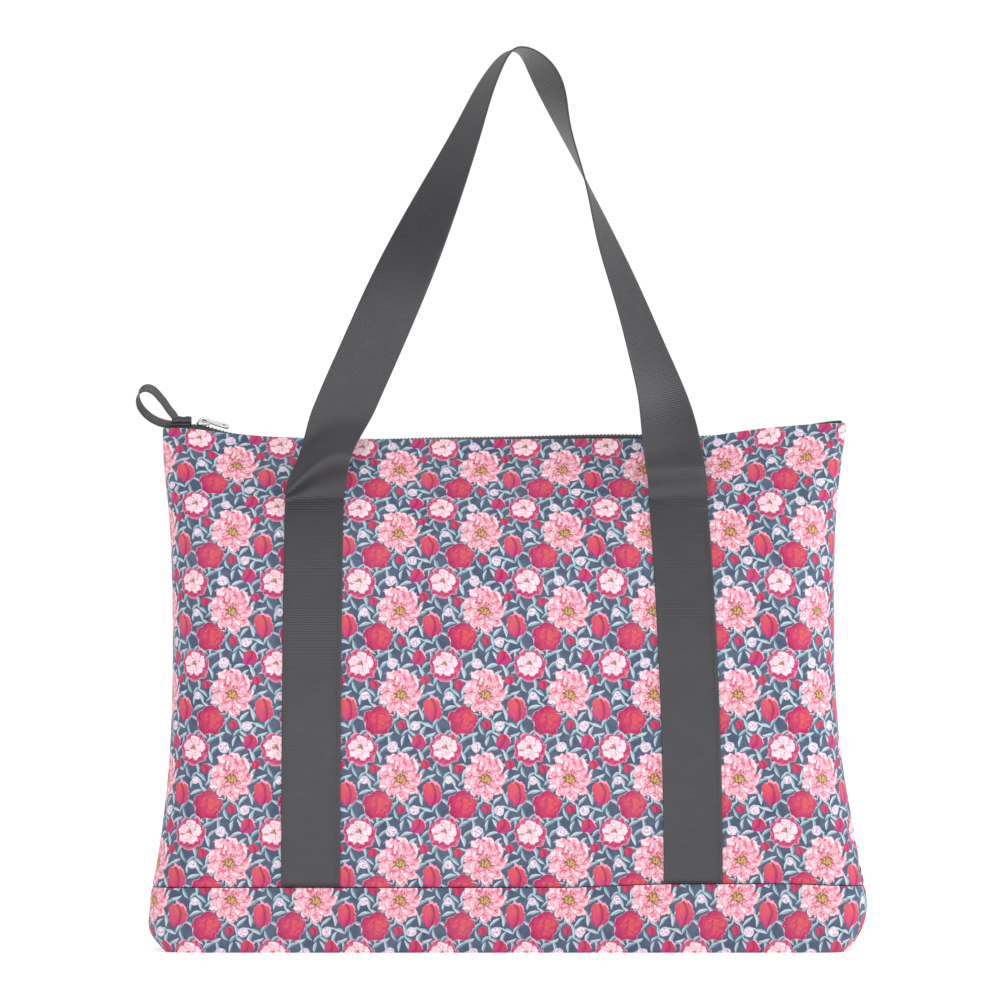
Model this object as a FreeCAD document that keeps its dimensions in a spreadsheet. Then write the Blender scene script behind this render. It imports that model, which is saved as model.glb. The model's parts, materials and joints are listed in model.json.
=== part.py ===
import FreeCAD, Part

import math
import os

import Sketcher
from FreeCAD import Placement, Rotation, Vector

# Foldable tote bag, in millimetres. +X runs to the bag's right, +Y to its back and +Z up, and the origin
# is the centre of the base's underside. The shell is a lofted tube of two panels on a boxed base, closed
# by a zip. Two webbing handles are sewn down the panels and run free above their stitch lines.

# Level by level: height, half width, half depth and corner radius of the shell's outer face.
SHELL_LEVELS = {
    "seam": (45.4, 248, 70, 24),
    "skirt": (90, 240.5, 70, 30),
    "hip": (150, 233.8, 68, 36),
    "waist": (240, 231.5, 56, 36),
    "stitch": (316, 234.5, 33, 24),
    "neck": (342, 237.5, 20.5, 15),
    "top": (364, 239.5, 9, 7),
}

# The boxed base widens from a smaller footprint to its rim, where the panels are sewn on.
BASE_LEVELS = {
    "floor": (0, 233, 64, 24),
    "heel": (8, 241, 68, 25),
    "swell": (24, 249.5, 70.5, 25),
    "rim": (45, 248.3, 70.2, 24),
}

SIZES = {
    "fabric_thickness": 1.0,
    "sewn_gap": 0.2,
    "side_seam_gap": 0.3,
    # webbing handles
    "webbing_width": 40,
    "webbing_thickness": 1.4,
    "left_strap_top": -136,
    "left_strap_foot": -137.5,
    "right_strap_top": 117.5,
    "right_strap_foot": 129,
    "handle_hinge_stand_off": 1.2,
    "handle_swing": 158,
    "tack_length": 37,
    "tack_width": 2.6,
    "tack_thickness": 0.3,
    "tack_drop": 4.2,
    "tack_slope": 0.49,
    "strap_cut_height": 80,
    # hems, bindings and the stow pocket
    "facing_half_length": 218,
    "facing_drop": 1.2,
    "binding_width": 10,
    "binding_thickness": 1.2,
    "binding_foot_height": 56.5,
    "binding_foot_inset": 5,
    "ring_height": 47,
    "ring_width": 8,
    "ring_inset": 3.4,
    "binding_gap": 0.8,
    "pocket_half_width": 75,
    "pocket_foot_height": 180,
    "pocket_foot_depth": 60.5,
    "pocket_stand_off": 1.4,
    "pocket_binding_height": 10,
    "pocket_binding_fall": 4.6,
    # zip
    "zip_height": 366,
    "zip_half_length": 237.6,
    "tape_outer": 6.6,
    "tape_inner": 3.1,
    "tape_thickness": 0.7,
    "chain_start": -214,
    "chain_end": 219,
    "bead_outer": 3.0,
    "bead_inner": 1.4,
    "bead_thickness": 1.5,
    "tooth_pitch": 2.55,
    "tooth_length": 1.1,
    "tooth_reach": 0.7,
    "tooth_thickness": 2.4,
    "top_stop_start": -221,
    "bottom_stop_start": 219.6,
    "stop_length": 1.8,
    "stop_thickness": 2.6,
    "bottom_stop_length": 3.6,
    "bottom_stop_half_width": 3.0,
    # slider and puller
    "slider_start": -213.5,
    "slider_half_length": 4.75,
    "slider_half_width": 4.1,
    "slider_tail_half_width": 3.6,
    "slider_corner_cut": 1.2,
    "slider_channel": 2.9,
    "slider_plate": 1.0,
    "slider_slot": 1.2,
    "slider_lip": 0.6,
    "slider_post_start": -4.3,
    "slider_post_length": 1.7,
    "slider_post_half_width": 0.7,
    "bridge_half_length": 3.1,
    "bridge_rise": 2.8,
    "bridge_wall": 0.85,
    "bridge_width": 1.8,
    "pivot_rise": 1.05,
    "puller_thickness": 0.9,
    "puller_bar": 0.6,
    "puller_eye_length": 4.9,
    "puller_eye_half_width": 1.5,
    "puller_half_width": 2.5,
    "puller_length": 17,
    "puller_tilt": 5,
    # end tabs and pull loop
    "tab_length": 14,
    "tab_end_gap": 0.3,
    "tab_half_width": 6.0,
    "tab_layer": 0.9,
    "tab_gap": 1.1,
    "loop_width": 11,
    "loop_thickness": 1.0,
    "loop_base_start": -234.5,
    "loop_base_length": 13,
    "loop_base_height": 3.6,
    "loop_base_lift": 0.1,
    "loop_pivot_across": -235.6,
    "loop_pivot_up": 372.1,
    "loop_lean": 135,
    "loop_reach": 28,
    "loop_radius": 6,
    "loop_throat": 3,
}

# The free handle's middle line, from its left foot over the top to its right foot: across, depth (both
# from the bag's middle), height, and how far the webbing has twisted from facing the front, in degrees.
HANDLE_ROUTE = (
    (-136, 34.5, 316.4, 0),
    (-134.3, 34.4, 326, 0),
    (-129.5, 34, 339, 0),
    (-121.5, 33.4, 362, 0),
    (-111, 32.8, 388, 0),
    (-99.5, 32, 414, 0),
    (-81, 30.5, 456, 9),
    (-62, 29, 498, 28),
    (-43, 27.5, 540, 48),
    (-25, 26, 582, 65),
    (-9, 25, 617, 78),
    (5, 24.5, 631, 91),
    (20, 24.5, 619, 108),
    (35, 25, 582, 108),
    (52, 26, 540, 94),
    (68, 27.5, 498, 75),
    (85, 29, 456, 56),
    (100, 31, 414, 44),
    (107.5, 32, 389, 33),
    (112.5, 33, 364, 16),
    (115.5, 34, 340, 4),
    (117.2, 34.4, 327, 0),
    (117.5, 34.5, 316.4, 0),
)

doc = FreeCAD.newDocument("foldable_tote_bag")


def all_sizes():
    """Every driving dimension by its alias, those of the levels included."""
    rows = dict(SIZES)
    for level, values in {**SHELL_LEVELS, **BASE_LEVELS}.items():
        for quantity, value in zip(("height", "half_width", "half_depth", "corner"), values):
            rows[f"{level}_{quantity}"] = value
    return rows


ALL_SIZES = all_sizes()
sheet = doc.addObject("Spreadsheet::Sheet", "sizes")
for row, (alias, number) in enumerate(ALL_SIZES.items(), 1):
    sheet.set(f"A{row}", alias)
    sheet.set(f"B{row}", str(number))
    sheet.setAlias(f"B{row}", alias)
doc.recompute()


def full(expression):
    """An expression in bare aliases, with the sheet's name put in front of each."""
    words = expression.replace("(", " ( ").replace(")", " ) ").split()
    return " ".join(f"sizes.{word}" if word in ALL_SIZES else word for word in words)


def value(expression):
    return float(sheet.evalExpression(full(expression)))


# ---- sketches and bodies ---------------------------------------------------------------------------


def new_body(label):
    body = doc.addObject("PartDesign::Body", label)
    body.Label = label
    return body


def new_sketch(body, plane="XY_Plane", offset="0"):
    """A sketch on one of the body's own origin planes, moved along the plane's normal."""
    sketch = body.newObject("Sketcher::SketchObject", f"{body.Name}_sketch")
    support = next(f for f in body.Origin.OriginFeatures if f.Role == plane)
    sketch.AttachmentSupport = [(support, "")]
    sketch.MapMode = "FlatFace"
    sketch.setExpression("AttachmentOffset.Base.z", full(offset))
    return sketch


def constrain(sketch, *words):
    return sketch.addConstraint(Sketcher.Constraint(*words))


def hold(sketch, axis, element, point, expression):
    """Hold a point of the sketch at a signed distance from the sketch's origin."""
    index = constrain(sketch, f"Distance{axis}", -1, 1, element, point, value(expression))
    sketch.setExpression(f"Constraints[{index}]", full(expression))


def join(sketch, element, point, other, other_point):
    constrain(sketch, "Coincident", element, point, other, other_point)


def add_line(sketch, start, end):
    return sketch.addGeometry(Part.LineSegment(Vector(*start, 0), Vector(*end, 0)))


def add_polygon(sketch, corners):
    """A closed outline of straight lines through corners given as pairs of expressions."""
    places = [(value(across), value(up)) for across, up in corners]
    lines = [add_line(sketch, a, b) for a, b in zip(places, places[1:] + places[:1])]
    for line, follower, (across, up) in zip(lines, lines[1:] + lines[:1], corners):
        join(sketch, line, 2, follower, 1)
        hold(sketch, "X", line, 1, across)
        hold(sketch, "Y", line, 1, up)


def add_rectangle(sketch, left, right, low, high):
    add_polygon(sketch, ((left, low), (right, low), (right, high), (left, high)))


def add_corner(sketch, across, up, radius, quarter):
    """A quarter circle held by its centre and radius. Quarter 0 runs from +X to +Y, quarter 1 on to -X."""
    centre = Vector(value(across), value(up), 0)
    circle = Part.Circle(centre, Vector(0, 0, 1), value(radius))
    start = quarter * math.pi / 2
    arc = sketch.addGeometry(Part.ArcOfCircle(circle, start, start + math.pi / 2))
    hold(sketch, "X", arc, 3, across)
    hold(sketch, "Y", arc, 3, up)
    index = constrain(sketch, "Radius", arc, value(radius))
    sketch.setExpression(f"Constraints[{index}]", full(radius))
    level, upright = (1, 2) if quarter % 2 == 0 else (2, 1)
    constrain(sketch, "Horizontal", arc, level, arc, 3)
    constrain(sketch, "Vertical", arc, upright, arc, 3)
    return arc


def point_of(sketch, element, point):
    place = sketch.getPoint(element, point)
    return place.x, place.y


def link(sketch, element, point, other, other_point):
    """A straight line between the ends of two elements."""
    ends = point_of(sketch, element, point), point_of(sketch, other, other_point)
    line = add_line(sketch, *ends)
    join(sketch, line, 1, element, point)
    join(sketch, line, 2, other, other_point)
    return line


def add_rounded_rectangle(sketch, half_width, half_depth, radius):
    """A rounded rectangle about the sketch's origin."""
    across, up = f"( {half_width} - ( {radius} ) )", f"( {half_depth} - ( {radius} ) )"
    signs = ((1, 1), (-1, 1), (-1, -1), (1, -1))
    corners = [
        add_corner(sketch, f"{sx} * {across}", f"{sy} * {up}", radius, quarter)
        for quarter, (sx, sy) in enumerate(signs)
    ]
    for corner, follower in zip(corners, corners[1:] + corners[:1]):
        link(sketch, corner, 2, follower, 1)


def loft(body, sections, kind="PartDesign::AdditiveLoft"):
    feature = body.newObject(kind, f"{body.Name}_loft")
    feature.Profile = sections[0]
    feature.Sections = sections[1:]
    feature.Ruled = False
    for sketch in sections:
        sketch.Visibility = False
    doc.recompute()
    return feature


def pad(body, sketch, length):
    feature = body.newObject("PartDesign::Pad", f"{body.Name}_pad")
    feature.Profile = sketch
    feature.setExpression("Length", full(length))
    doc.recompute()
    return feature


def mirrored(source, label):
    """The same piece on the back of the bag."""
    twin = doc.addObject("Part::Mirroring", label)
    twin.Label = label
    twin.Source = source
    twin.Normal = Vector(0, 1, 0)
    return twin


def box(label, left, right, front, back, low, high):
    """A plain block between six expressions."""
    block = doc.addObject("Part::Box", label)
    block.Label = label
    for side, start, end in (("Length", left, right), ("Width", front, back), ("Height", low, high)):
        block.setExpression(side, full(f"( {end} ) - ( {start} )"))
    for axis, start in zip("xyz", (left, front, low)):
        block.setExpression(f"Placement.Base.{axis}", full(start))
    return block


# ---- fabric shell ----------------------------------------------------------------------------------


def shell_section(body, level):
    """The panel's thin outline at one level: across the front, round both corners, to the side seams."""
    sketch = new_sketch(body, offset=f"{level}_height")
    wide, deep, corner = (f"{level}_{word}" for word in ("half_width", "half_depth", "corner"))
    across, centre = f"( {wide} - {corner} )", f"-1 * ( {deep} - {corner} )"
    inner = f"{corner} - fabric_thickness"
    outer_left = add_corner(sketch, f"-1 * {across}", centre, corner, 2)
    outer_right = add_corner(sketch, across, centre, corner, 3)
    inner_left = add_corner(sketch, f"-1 * {across}", centre, inner, 2)
    inner_right = add_corner(sketch, across, centre, inner, 3)
    seam = -value("side_seam_gap") / 2
    walls = []
    for arc, end in ((outer_left, 1), (inner_left, 1), (outer_right, 2), (inner_right, 2)):
        foot = point_of(sketch, arc, end)
        wall = add_line(sketch, foot, (foot[0], seam))
        join(sketch, wall, 1, arc, end)
        constrain(sketch, "Vertical", wall)
        hold(sketch, "Y", wall, 2, "-0.5 * side_seam_gap")
        walls.append(wall)
    link(sketch, outer_left, 2, outer_right, 1)
    link(sketch, inner_left, 2, inner_right, 1)
    link(sketch, walls[0], 2, walls[1], 2)
    link(sketch, walls[2], 2, walls[3], 2)
    return sketch


def make_panels():
    front = new_body("front_panel")
    loft(front, [shell_section(front, level) for level in SHELL_LEVELS])
    return [front, mirrored(front, "back_panel")]


def make_base():
    """A boxed base: a flat bottom and an upstand, sewn to the panels at its rim."""
    body = new_body("base_panel")
    outside, inside = [], []
    for level in BASE_LEVELS:
        wide, deep, corner = (f"{level}_{word}" for word in ("half_width", "half_depth", "corner"))
        outer = new_sketch(body, offset=f"{level}_height")
        add_rounded_rectangle(outer, wide, deep, corner)
        outside.append(outer)
        lift = "fabric_thickness" if level == "floor" else f"{level}_height"
        inner = new_sketch(body, offset=lift)
        add_rounded_rectangle(
            inner,
            f"{wide} - fabric_thickness",
            f"{deep} - fabric_thickness",
            f"{corner} - fabric_thickness",
        )
        inside.append(inner)
    loft(body, outside)
    loft(body, inside, "PartDesign::SubtractiveLoft")
    return [body]


def slab_section(body, height, left, right, low, high):
    sketch = new_sketch(body, offset=height)
    add_rectangle(sketch, left, right, low, high)
    return sketch


def make_facings():
    """The hem turned in at the top of each panel, where the zip tape is sewn on."""
    body = new_body("front_top_facing")
    sections = []
    for level, height in (("neck", "neck_height"), ("top", "top_height - facing_drop")):
        outer = f"-1 * ( {level}_half_depth - fabric_thickness - sewn_gap )"
        low, high = outer, f"{outer} + fabric_thickness"
        sections.append(
            slab_section(body, height, "-1 * facing_half_length", "facing_half_length", low, high)
        )
    loft(body, sections)
    return [body, mirrored(body, "back_top_facing")]


def make_side_bindings():
    """The bound seam allowance that stands inwards from each side seam."""
    made = []
    for label, side in (("left_seam_binding", -1), ("right_seam_binding", 1)):
        body = new_body(label)
        edges = [("binding_foot_height", "seam_half_width - binding_foot_inset")]
        for level in ("skirt", "hip", "waist", "stitch", "neck"):
            edges.append((f"{level}_height", f"{level}_half_width - fabric_thickness - binding_gap"))
        half = "0.5 * binding_thickness"
        sections = [
            slab_section(
                body, height, f"{side} * ( {edge} )", f"{side} * ( {edge} - binding_width )",
                f"-1 * {half}", half,
            )
            for height, edge in edges
        ]
        loft(body, sections)
        made.append(body)
    return made


def make_base_binding():
    """A ring of binding over the seam allowance, just above the base's rim and inside the panels."""
    body = new_body("base_seam_binding")
    sketch = new_sketch(body, offset="ring_height")
    inset = "fabric_thickness + sewn_gap"
    wide = f"seam_half_width - ring_inset - {inset}"
    deep = f"seam_half_depth - ( {inset} )"
    corner = f"seam_corner - ( {inset} )"
    add_rounded_rectangle(sketch, wide, deep, corner)
    thick = "binding_thickness"
    add_rounded_rectangle(sketch, f"{wide} - {thick}", f"{deep} - {thick}", f"{corner} - {thick}")
    pad(body, sketch, "ring_width")
    return [body]


def make_stow_pocket():
    """The flat pouch inside the back panel that the bag folds into, with its edge bound."""
    pocket = new_body("stow_pocket")
    reach = "fabric_thickness + pocket_stand_off"
    sides = "-1 * pocket_half_width", "pocket_half_width"
    levels = [("pocket_foot_height", "pocket_foot_depth")]
    levels += [(f"{level}_height", f"{level}_half_depth - ( {reach} )") for level in ("waist", "stitch")]
    sections = [
        slab_section(pocket, height, *sides, f"{face} - fabric_thickness", face)
        for height, face in levels
    ]
    loft(pocket, sections)

    binding = new_body("stow_pocket_binding")
    face = f"stitch_half_depth - ( {reach} ) - 2 * sewn_gap"
    ends = (
        ("stitch_height + sewn_gap", face),
        ("stitch_height + pocket_binding_height", f"{face} - pocket_binding_fall"),
    )
    sections = [
        slab_section(binding, height, *sides, f"{edge} - binding_thickness", edge)
        for height, edge in ends
    ]
    loft(binding, sections)
    return [pocket, binding]


# ---- webbing ---------------------------------------------------------------------------------------


def strap_middle(side, height):
    """Where a sewn strap's middle lies at a height: it bends away from straight towards its top."""
    share = "( ( {0} - seam_height ) / ( stitch_height - seam_height ) )".format(height)
    run = f"( {side}_strap_top - {side}_strap_foot )"
    return f"( {side}_strap_foot + {run} * {share} * {share} )"


def make_straps():
    """The webbing sewn flat down the panels: lofted over the whole panel, then cut off at the stitch line."""
    made = []
    for side in ("left", "right"):
        body = new_body(f"front_strap_{side}")
        sections = []
        for level in SHELL_LEVELS:
            height = f"{level}_height"
            middle = strap_middle(side, height)
            back = f"-1 * ( {level}_half_depth + sewn_gap )"
            sections.append(
                slab_section(
                    body, height, f"{middle} - 0.5 * webbing_width", f"{middle} + 0.5 * webbing_width",
                    f"{back} - webbing_thickness", back,
                )
            )
        loft(body, sections)
        cut = new_sketch(body, offset="stitch_height")
        middle = strap_middle(side, "stitch_height")
        add_rectangle(
            cut, f"{middle} - webbing_width", f"{middle} + webbing_width", "-1 * seam_half_depth", "0"
        )
        pocket = body.newObject("PartDesign::Pocket", f"{body.Name}_pocket")
        pocket.Profile = cut
        pocket.Reversed = True
        pocket.setExpression("Length", full("strap_cut_height"))
        doc.recompute()
        made += [body, mirrored(body, f"back_strap_{side}")]
    return made


def make_bar_tacks():
    """A dense row of stitches across each leg, just under the line where the webbing leaves the bag."""
    blocks = []
    depth = "stitch_half_depth + sewn_gap + webbing_thickness"
    for side in ("left", "right"):
        middle = strap_middle(side, "stitch_height")
        low = "stitch_height - tack_drop"
        front = f"-1 * ( {depth} + tack_drop * tack_slope + tack_thickness )"
        blocks.append(
            box(
                f"tack_{side}", f"{middle} - 0.5 * tack_length", f"{middle} + 0.5 * tack_length",
                front, f"{front} + tack_thickness", low, f"{low} + tack_width",
            )
        )
    pair = doc.addObject("Part::Compound", "front_bar_tacks")
    pair.Label = "front_bar_tacks"
    pair.Links = blocks
    return [pair, mirrored(pair, "back_bar_tacks")]


def route_frames(side):
    """Middle point, direction of the run and direction across the webbing at each point of the route."""
    points = [Vector(across, side * depth, up) for across, depth, up, _ in HANDLE_ROUTE]
    curve = Part.BSplineCurve()
    curve.interpolate(Points=points, InitialTangent=Vector(0, 0, 1), FinalTangent=Vector(0, 0, -1))
    for point, (_, _, _, twist) in zip(points, HANDLE_ROUTE):
        run = Vector(*curve.tangent(curve.parameter(point))[0])
        towards_viewer = Vector(0, side, 0)
        outward = run.cross(Vector(0, -1, 0)).normalize() * -1
        turned = math.radians(twist)
        face = towards_viewer * math.cos(turned) + outward * math.sin(turned)
        yield point, run, face.cross(run).normalize()


def handle_shape(side):
    """The free webbing loop as a ribbon lofted through its twisting sections."""
    half_width = value("webbing_width") / 2
    half_thickness = value("webbing_thickness") / 2
    wires = []
    for point, run, across in route_frames(side):
        through = across.cross(run).normalize()
        corners = [
            point + across * half_width * a + through * half_thickness * b
            for a, b in ((-1, -1), (1, -1), (1, 1), (-1, 1), (-1, -1))
        ]
        wires.append(Part.makePolygon(corners))
    return Part.makeLoft(wires, True, False)


def make_handles():
    """The front loop stands up. The back loop has swung over its hinge line and hangs behind the bag."""
    made = []
    hinge_depth = value("stitch_half_depth + sewn_gap + webbing_thickness + handle_hinge_stand_off")
    for label, side, swing in (("front_handle", -1, 0), ("back_handle", 1, value("handle_swing"))):
        loop = doc.addObject("Part::Feature", label)
        loop.Label = label
        loop.Shape = handle_shape(side)
        hinge = Vector(0, side * hinge_depth, value("stitch_height"))
        loop.Placement = Placement(Vector(), Rotation(Vector(1, 0, 0), -side * swing), hinge)
        made.append(loop)
    return made


# ---- zip -------------------------------------------------------------------------------------------


def make_tapes():
    half = "0.5 * tape_thickness"
    front = box(
        "zipper_tape_front", "-1 * zip_half_length", "zip_half_length",
        "-1 * tape_outer", "-1 * tape_inner", f"zip_height - {half}", f"zip_height + {half}",
    )
    return [front, mirrored(front, "zipper_tape_back")]


def make_teeth():
    """A row of moulded teeth on its bead for each tape. The back row lies half a pitch further on."""
    made = []
    count = math.floor(value("( chain_end - chain_start - tooth_length ) / tooth_pitch"))
    for label, side, shift in (("zipper_teeth_front", -1, "0"), ("zipper_teeth_back", 1, "0.5")):
        body = new_body(label)
        bead = new_sketch(body, offset="zip_height - 0.5 * bead_thickness")
        edges = sorted((f"{side} * bead_outer", f"{side} * bead_inner"), key=value)
        add_rectangle(bead, "chain_start", "chain_end", *edges)
        pad(body, bead, "bead_thickness")
        tooth = new_sketch(body, offset="zip_height - 0.5 * tooth_thickness")
        edges = sorted((f"{side} * bead_outer", f"-1 * {side} * tooth_reach"), key=value)
        start = f"chain_start + {shift} * tooth_pitch"
        add_rectangle(tooth, start, f"{start} + tooth_length", *edges)
        first = pad(body, tooth, "tooth_thickness")
        row = body.newObject("PartDesign::LinearPattern", f"{label}_row")
        row.Originals = [first]
        row.Direction = (tooth, ["H_Axis"])
        row.Occurrences = count
        row.setExpression("Length", full(f"tooth_pitch * {count - 1}"))
        body.Tip = row
        doc.recompute()
        made.append(body)
    return made


def make_stops():
    """Two top stops at the closed end, and one bottom stop that ties both tapes together."""
    half = "0.5 * stop_thickness"
    low, high = f"zip_height - {half}", f"zip_height + {half}"
    ends = "top_stop_start", "top_stop_start + stop_length"
    front = box("top_stop_front", *ends, "-1 * bead_outer", "-1 * bead_inner", low, high)
    back = box("top_stop_back", *ends, "bead_inner", "bead_outer", low, high)
    pair = doc.addObject("Part::Compound", "zipper_top_stops")
    pair.Label = "zipper_top_stops"
    pair.Links = [front, back]
    bottom = box(
        "zipper_bottom_stop", "bottom_stop_start", "bottom_stop_start + bottom_stop_length",
        "-1 * bottom_stop_half_width", "bottom_stop_half_width", low, high,
    )
    return [pair, bottom]


def make_slider():
    """Two plates on a wedge post, with lips that hold the teeth and a bridge that holds the puller."""
    body = new_body("slider_body")
    body.setExpression("Placement.Base.x", full("slider_start"))
    body.setExpression("Placement.Base.z", full("zip_height"))
    half_channel = "0.5 * slider_channel"
    outline = [
        ("-1 * slider_half_length", "slider_half_width - slider_corner_cut"),
        ("-1 * slider_half_length + slider_corner_cut", "slider_half_width"),
        ("0", "slider_half_width"),
        ("slider_half_length", "slider_tail_half_width"),
    ]
    outline += [(across, f"-1 * ( {up} )") for across, up in reversed(outline)]
    for low in (half_channel, f"-1 * ( {half_channel} + slider_plate )"):
        plate = new_sketch(body, offset=low)
        add_polygon(plate, outline)
        pad(body, plate, "slider_plate")
        if low == half_channel:
            make_slider_post(body, half_channel)
    lip_height = f"{half_channel} - 0.5 * slider_slot"
    for low in ("0.5 * slider_slot", f"-1 * {half_channel}"):
        lips = new_sketch(body, offset=low)
        for side in (-1, 1):
            outer, inner = f"{side} * slider_tail_half_width", f"{side} * ( slider_tail_half_width - slider_lip )"
            low_edge, high_edge = sorted((outer, inner), key=value)
            add_rectangle(
                lips, "-1 * slider_half_length + slider_corner_cut", "slider_half_length", low_edge, high_edge
            )
        pad(body, lips, lip_height)
    make_bridge(body, half_channel)
    return [body]


def make_slider_post(body, half_channel):
    post = new_sketch(body, offset=f"-1 * {half_channel}")
    add_rectangle(
        post, "slider_post_start", "slider_post_start + slider_post_length",
        "-1 * slider_post_half_width", "slider_post_half_width",
    )
    pad(body, post, f"2 * {half_channel}")


def make_bridge(body, half_channel):
    """The arch over the top plate, with the opening that the puller's bar lies in."""
    arch = new_sketch(body, "XZ_Plane", "-0.5 * bridge_width")
    foot = f"{half_channel} + 0.5 * slider_plate"
    top = f"{half_channel} + slider_plate + bridge_rise"
    slope = "bridge_wall"
    add_polygon(
        arch,
        (
            ("-1 * bridge_half_length", foot),
            ("-1 * bridge_half_length", f"{top} - {slope}"),
            (f"-1 * bridge_half_length + {slope}", top),
            (f"bridge_half_length - {slope}", top),
            ("bridge_half_length", f"{top} - {slope}"),
            ("bridge_half_length", foot),
        ),
    )
    add_rectangle(
        arch, "-1 * bridge_half_length + bridge_wall", "bridge_half_length - bridge_wall",
        f"{half_channel} + slider_plate + 0.1", f"{top} - bridge_wall",
    )
    pad(body, arch, "bridge_width")


def make_puller():
    """A flat tab whose bar lies in the bridge. It rests along the zip, tilted down towards its tip."""
    body = new_body("slider_puller")
    outline = new_sketch(body, offset="-0.5 * puller_thickness")
    tip = "puller_length - puller_half_width"
    corners = [
        ("-1 * puller_bar", "puller_half_width - puller_bar"),
        ("0", "puller_half_width"),
        ("puller_eye_length", "puller_half_width"),
        ("puller_eye_length + puller_half_width", "0.75 * puller_half_width"),
        (tip, "puller_half_width"),
        ("puller_length", "0.5 * puller_half_width"),
    ]
    corners += [(across, f"-1 * ( {up} )") for across, up in reversed(corners)]
    add_polygon(outline, corners)
    add_rectangle(
        outline, "puller_bar", "puller_eye_length", "-1 * puller_eye_half_width", "puller_eye_half_width"
    )
    pad(body, outline, "puller_thickness")
    body.Placement = Placement(Vector(), Rotation(Vector(0, 1, 0), value("puller_tilt")))
    body.setExpression("Placement.Base.x", full("slider_start"))
    rise = "zip_height + 0.5 * slider_channel + slider_plate + pivot_rise"
    body.setExpression("Placement.Base.z", full(rise))
    return [body]


def make_end_tabs():
    """A strip of tape folded round each end of the zip."""
    made = []
    for label, side in (("left_end_tab", -1), ("right_end_tab", 1)):
        body = new_body(label)
        sketch = new_sketch(body, "XZ_Plane", "-1 * tab_half_width")
        end = f"{side} * ( zip_half_length + tab_end_gap + tab_layer )"
        fold = f"{end} - {side} * tab_layer"
        mouth = f"{end} - {side} * tab_length"
        inner, outer = "0.5 * tab_gap", "( 0.5 * tab_gap + tab_layer )"
        add_polygon(
            sketch,
            (
                (mouth, f"zip_height - {outer}"),
                (end, f"zip_height - {outer}"),
                (end, f"zip_height + {outer}"),
                (mouth, f"zip_height + {outer}"),
                (mouth, f"zip_height + {inner}"),
                (fold, f"zip_height + {inner}"),
                (fold, f"zip_height - {inner}"),
                (mouth, f"zip_height - {inner}"),
            ),
        )
        pad(body, sketch, "2 * tab_half_width")
        made.append(body)
    return made


def make_pull_loop():
    """A loop of narrow webbing at the closed end, standing up and out from the layers sewn to the tab."""
    low = "zip_height + 0.5 * tab_gap + tab_layer + loop_base_lift"
    base = box(
        "pull_loop_base", "loop_base_start", "loop_base_start + loop_base_length",
        "-0.5 * loop_width", "0.5 * loop_width", low, f"{low} + loop_base_height",
    )
    loop = new_body("pull_loop")
    sketch = new_sketch(loop, "XZ_Plane", "-0.5 * loop_width")
    add_teardrop(sketch, "0", "loop_thickness", "loop_radius", True)
    add_teardrop(sketch, "loop_throat", "0", "loop_radius - loop_thickness", False)
    pad(loop, sketch, "loop_width")
    loop.Placement = Placement(Vector(), Rotation(Vector(0, 1, 0), -value("loop_lean")))
    loop.setExpression("Placement.Base.x", full("loop_pivot_across"))
    loop.setExpression("Placement.Base.z", full("loop_pivot_up"))
    return [base, loop]


def add_teardrop(sketch, start, half_start, radius, blunt):
    """Two straight sides that leave start and meet a round end tangentially, along the sketch's +X."""
    reach, half, round_radius = value("loop_reach"), value(half_start), value(radius)
    centre, origin = Vector(reach, 0, 0), value(start)
    distance = math.hypot(reach - origin, half)
    touch = math.pi - math.atan2(half, reach - origin) - math.acos(round_radius / distance)
    circle = Part.Circle(centre, Vector(0, 0, 1), round_radius)
    arc = sketch.addGeometry(Part.ArcOfCircle(circle, -touch, touch))
    hold(sketch, "X", arc, 3, "loop_reach")
    hold(sketch, "Y", arc, 3, "0")
    index = constrain(sketch, "Radius", arc, round_radius)
    sketch.setExpression(f"Constraints[{index}]", full(radius))
    sides = []
    for end, sign in ((1, -1), (2, 1)):
        line = add_line(sketch, point_of(sketch, arc, end), (origin, sign * half))
        constrain(sketch, "Tangent", line, 1, arc, end)
        if blunt or sign < 0:
            hold(sketch, "X", line, 2, start)
            hold(sketch, "Y", line, 2, f"{sign} * {half_start}")
        sides.append(line)
    if blunt:
        link(sketch, sides[0], 2, sides[1], 2)
    else:
        join(sketch, sides[1], 2, sides[0], 2)


# ---- build, check and write ------------------------------------------------------------------------


def build():
    makers = (
        make_panels, make_base, make_facings, make_side_bindings, make_base_binding, make_stow_pocket,
        make_straps, make_bar_tacks, make_handles, make_tapes, make_teeth, make_stops, make_slider,
        make_puller, make_end_tabs, make_pull_loop,
    )
    return [piece for maker in makers for piece in maker()]


def check(pieces):
    """Stop if any object of the document failed, or a sub-part has no valid solid."""
    for item in doc.Objects:
        faults = {"Invalid", "Error"} & set(item.State)
        if faults:
            raise RuntimeError(f"{item.Label}: {', '.join(sorted(faults))}")
    for piece in pieces:
        if piece.Shape.isNull() or not piece.Shape.isValid() or not piece.Shape.Solids:
            raise RuntimeError(f"{piece.Label} is not a valid solid")


def write(pieces):
    os.makedirs("parts", exist_ok=True)
    for piece in pieces:
        piece.Shape.exportStep(f"parts/{piece.Label}.step")


pieces = build()
doc.recompute()
check(pieces)
write(pieces)
print(len(pieces), "sub-parts written")
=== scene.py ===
import json
from math import cos, hypot, pi, radians, sin, sqrt

import bmesh
import bpy
import numpy as np
from mathutils import Matrix, Vector, noise

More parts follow.
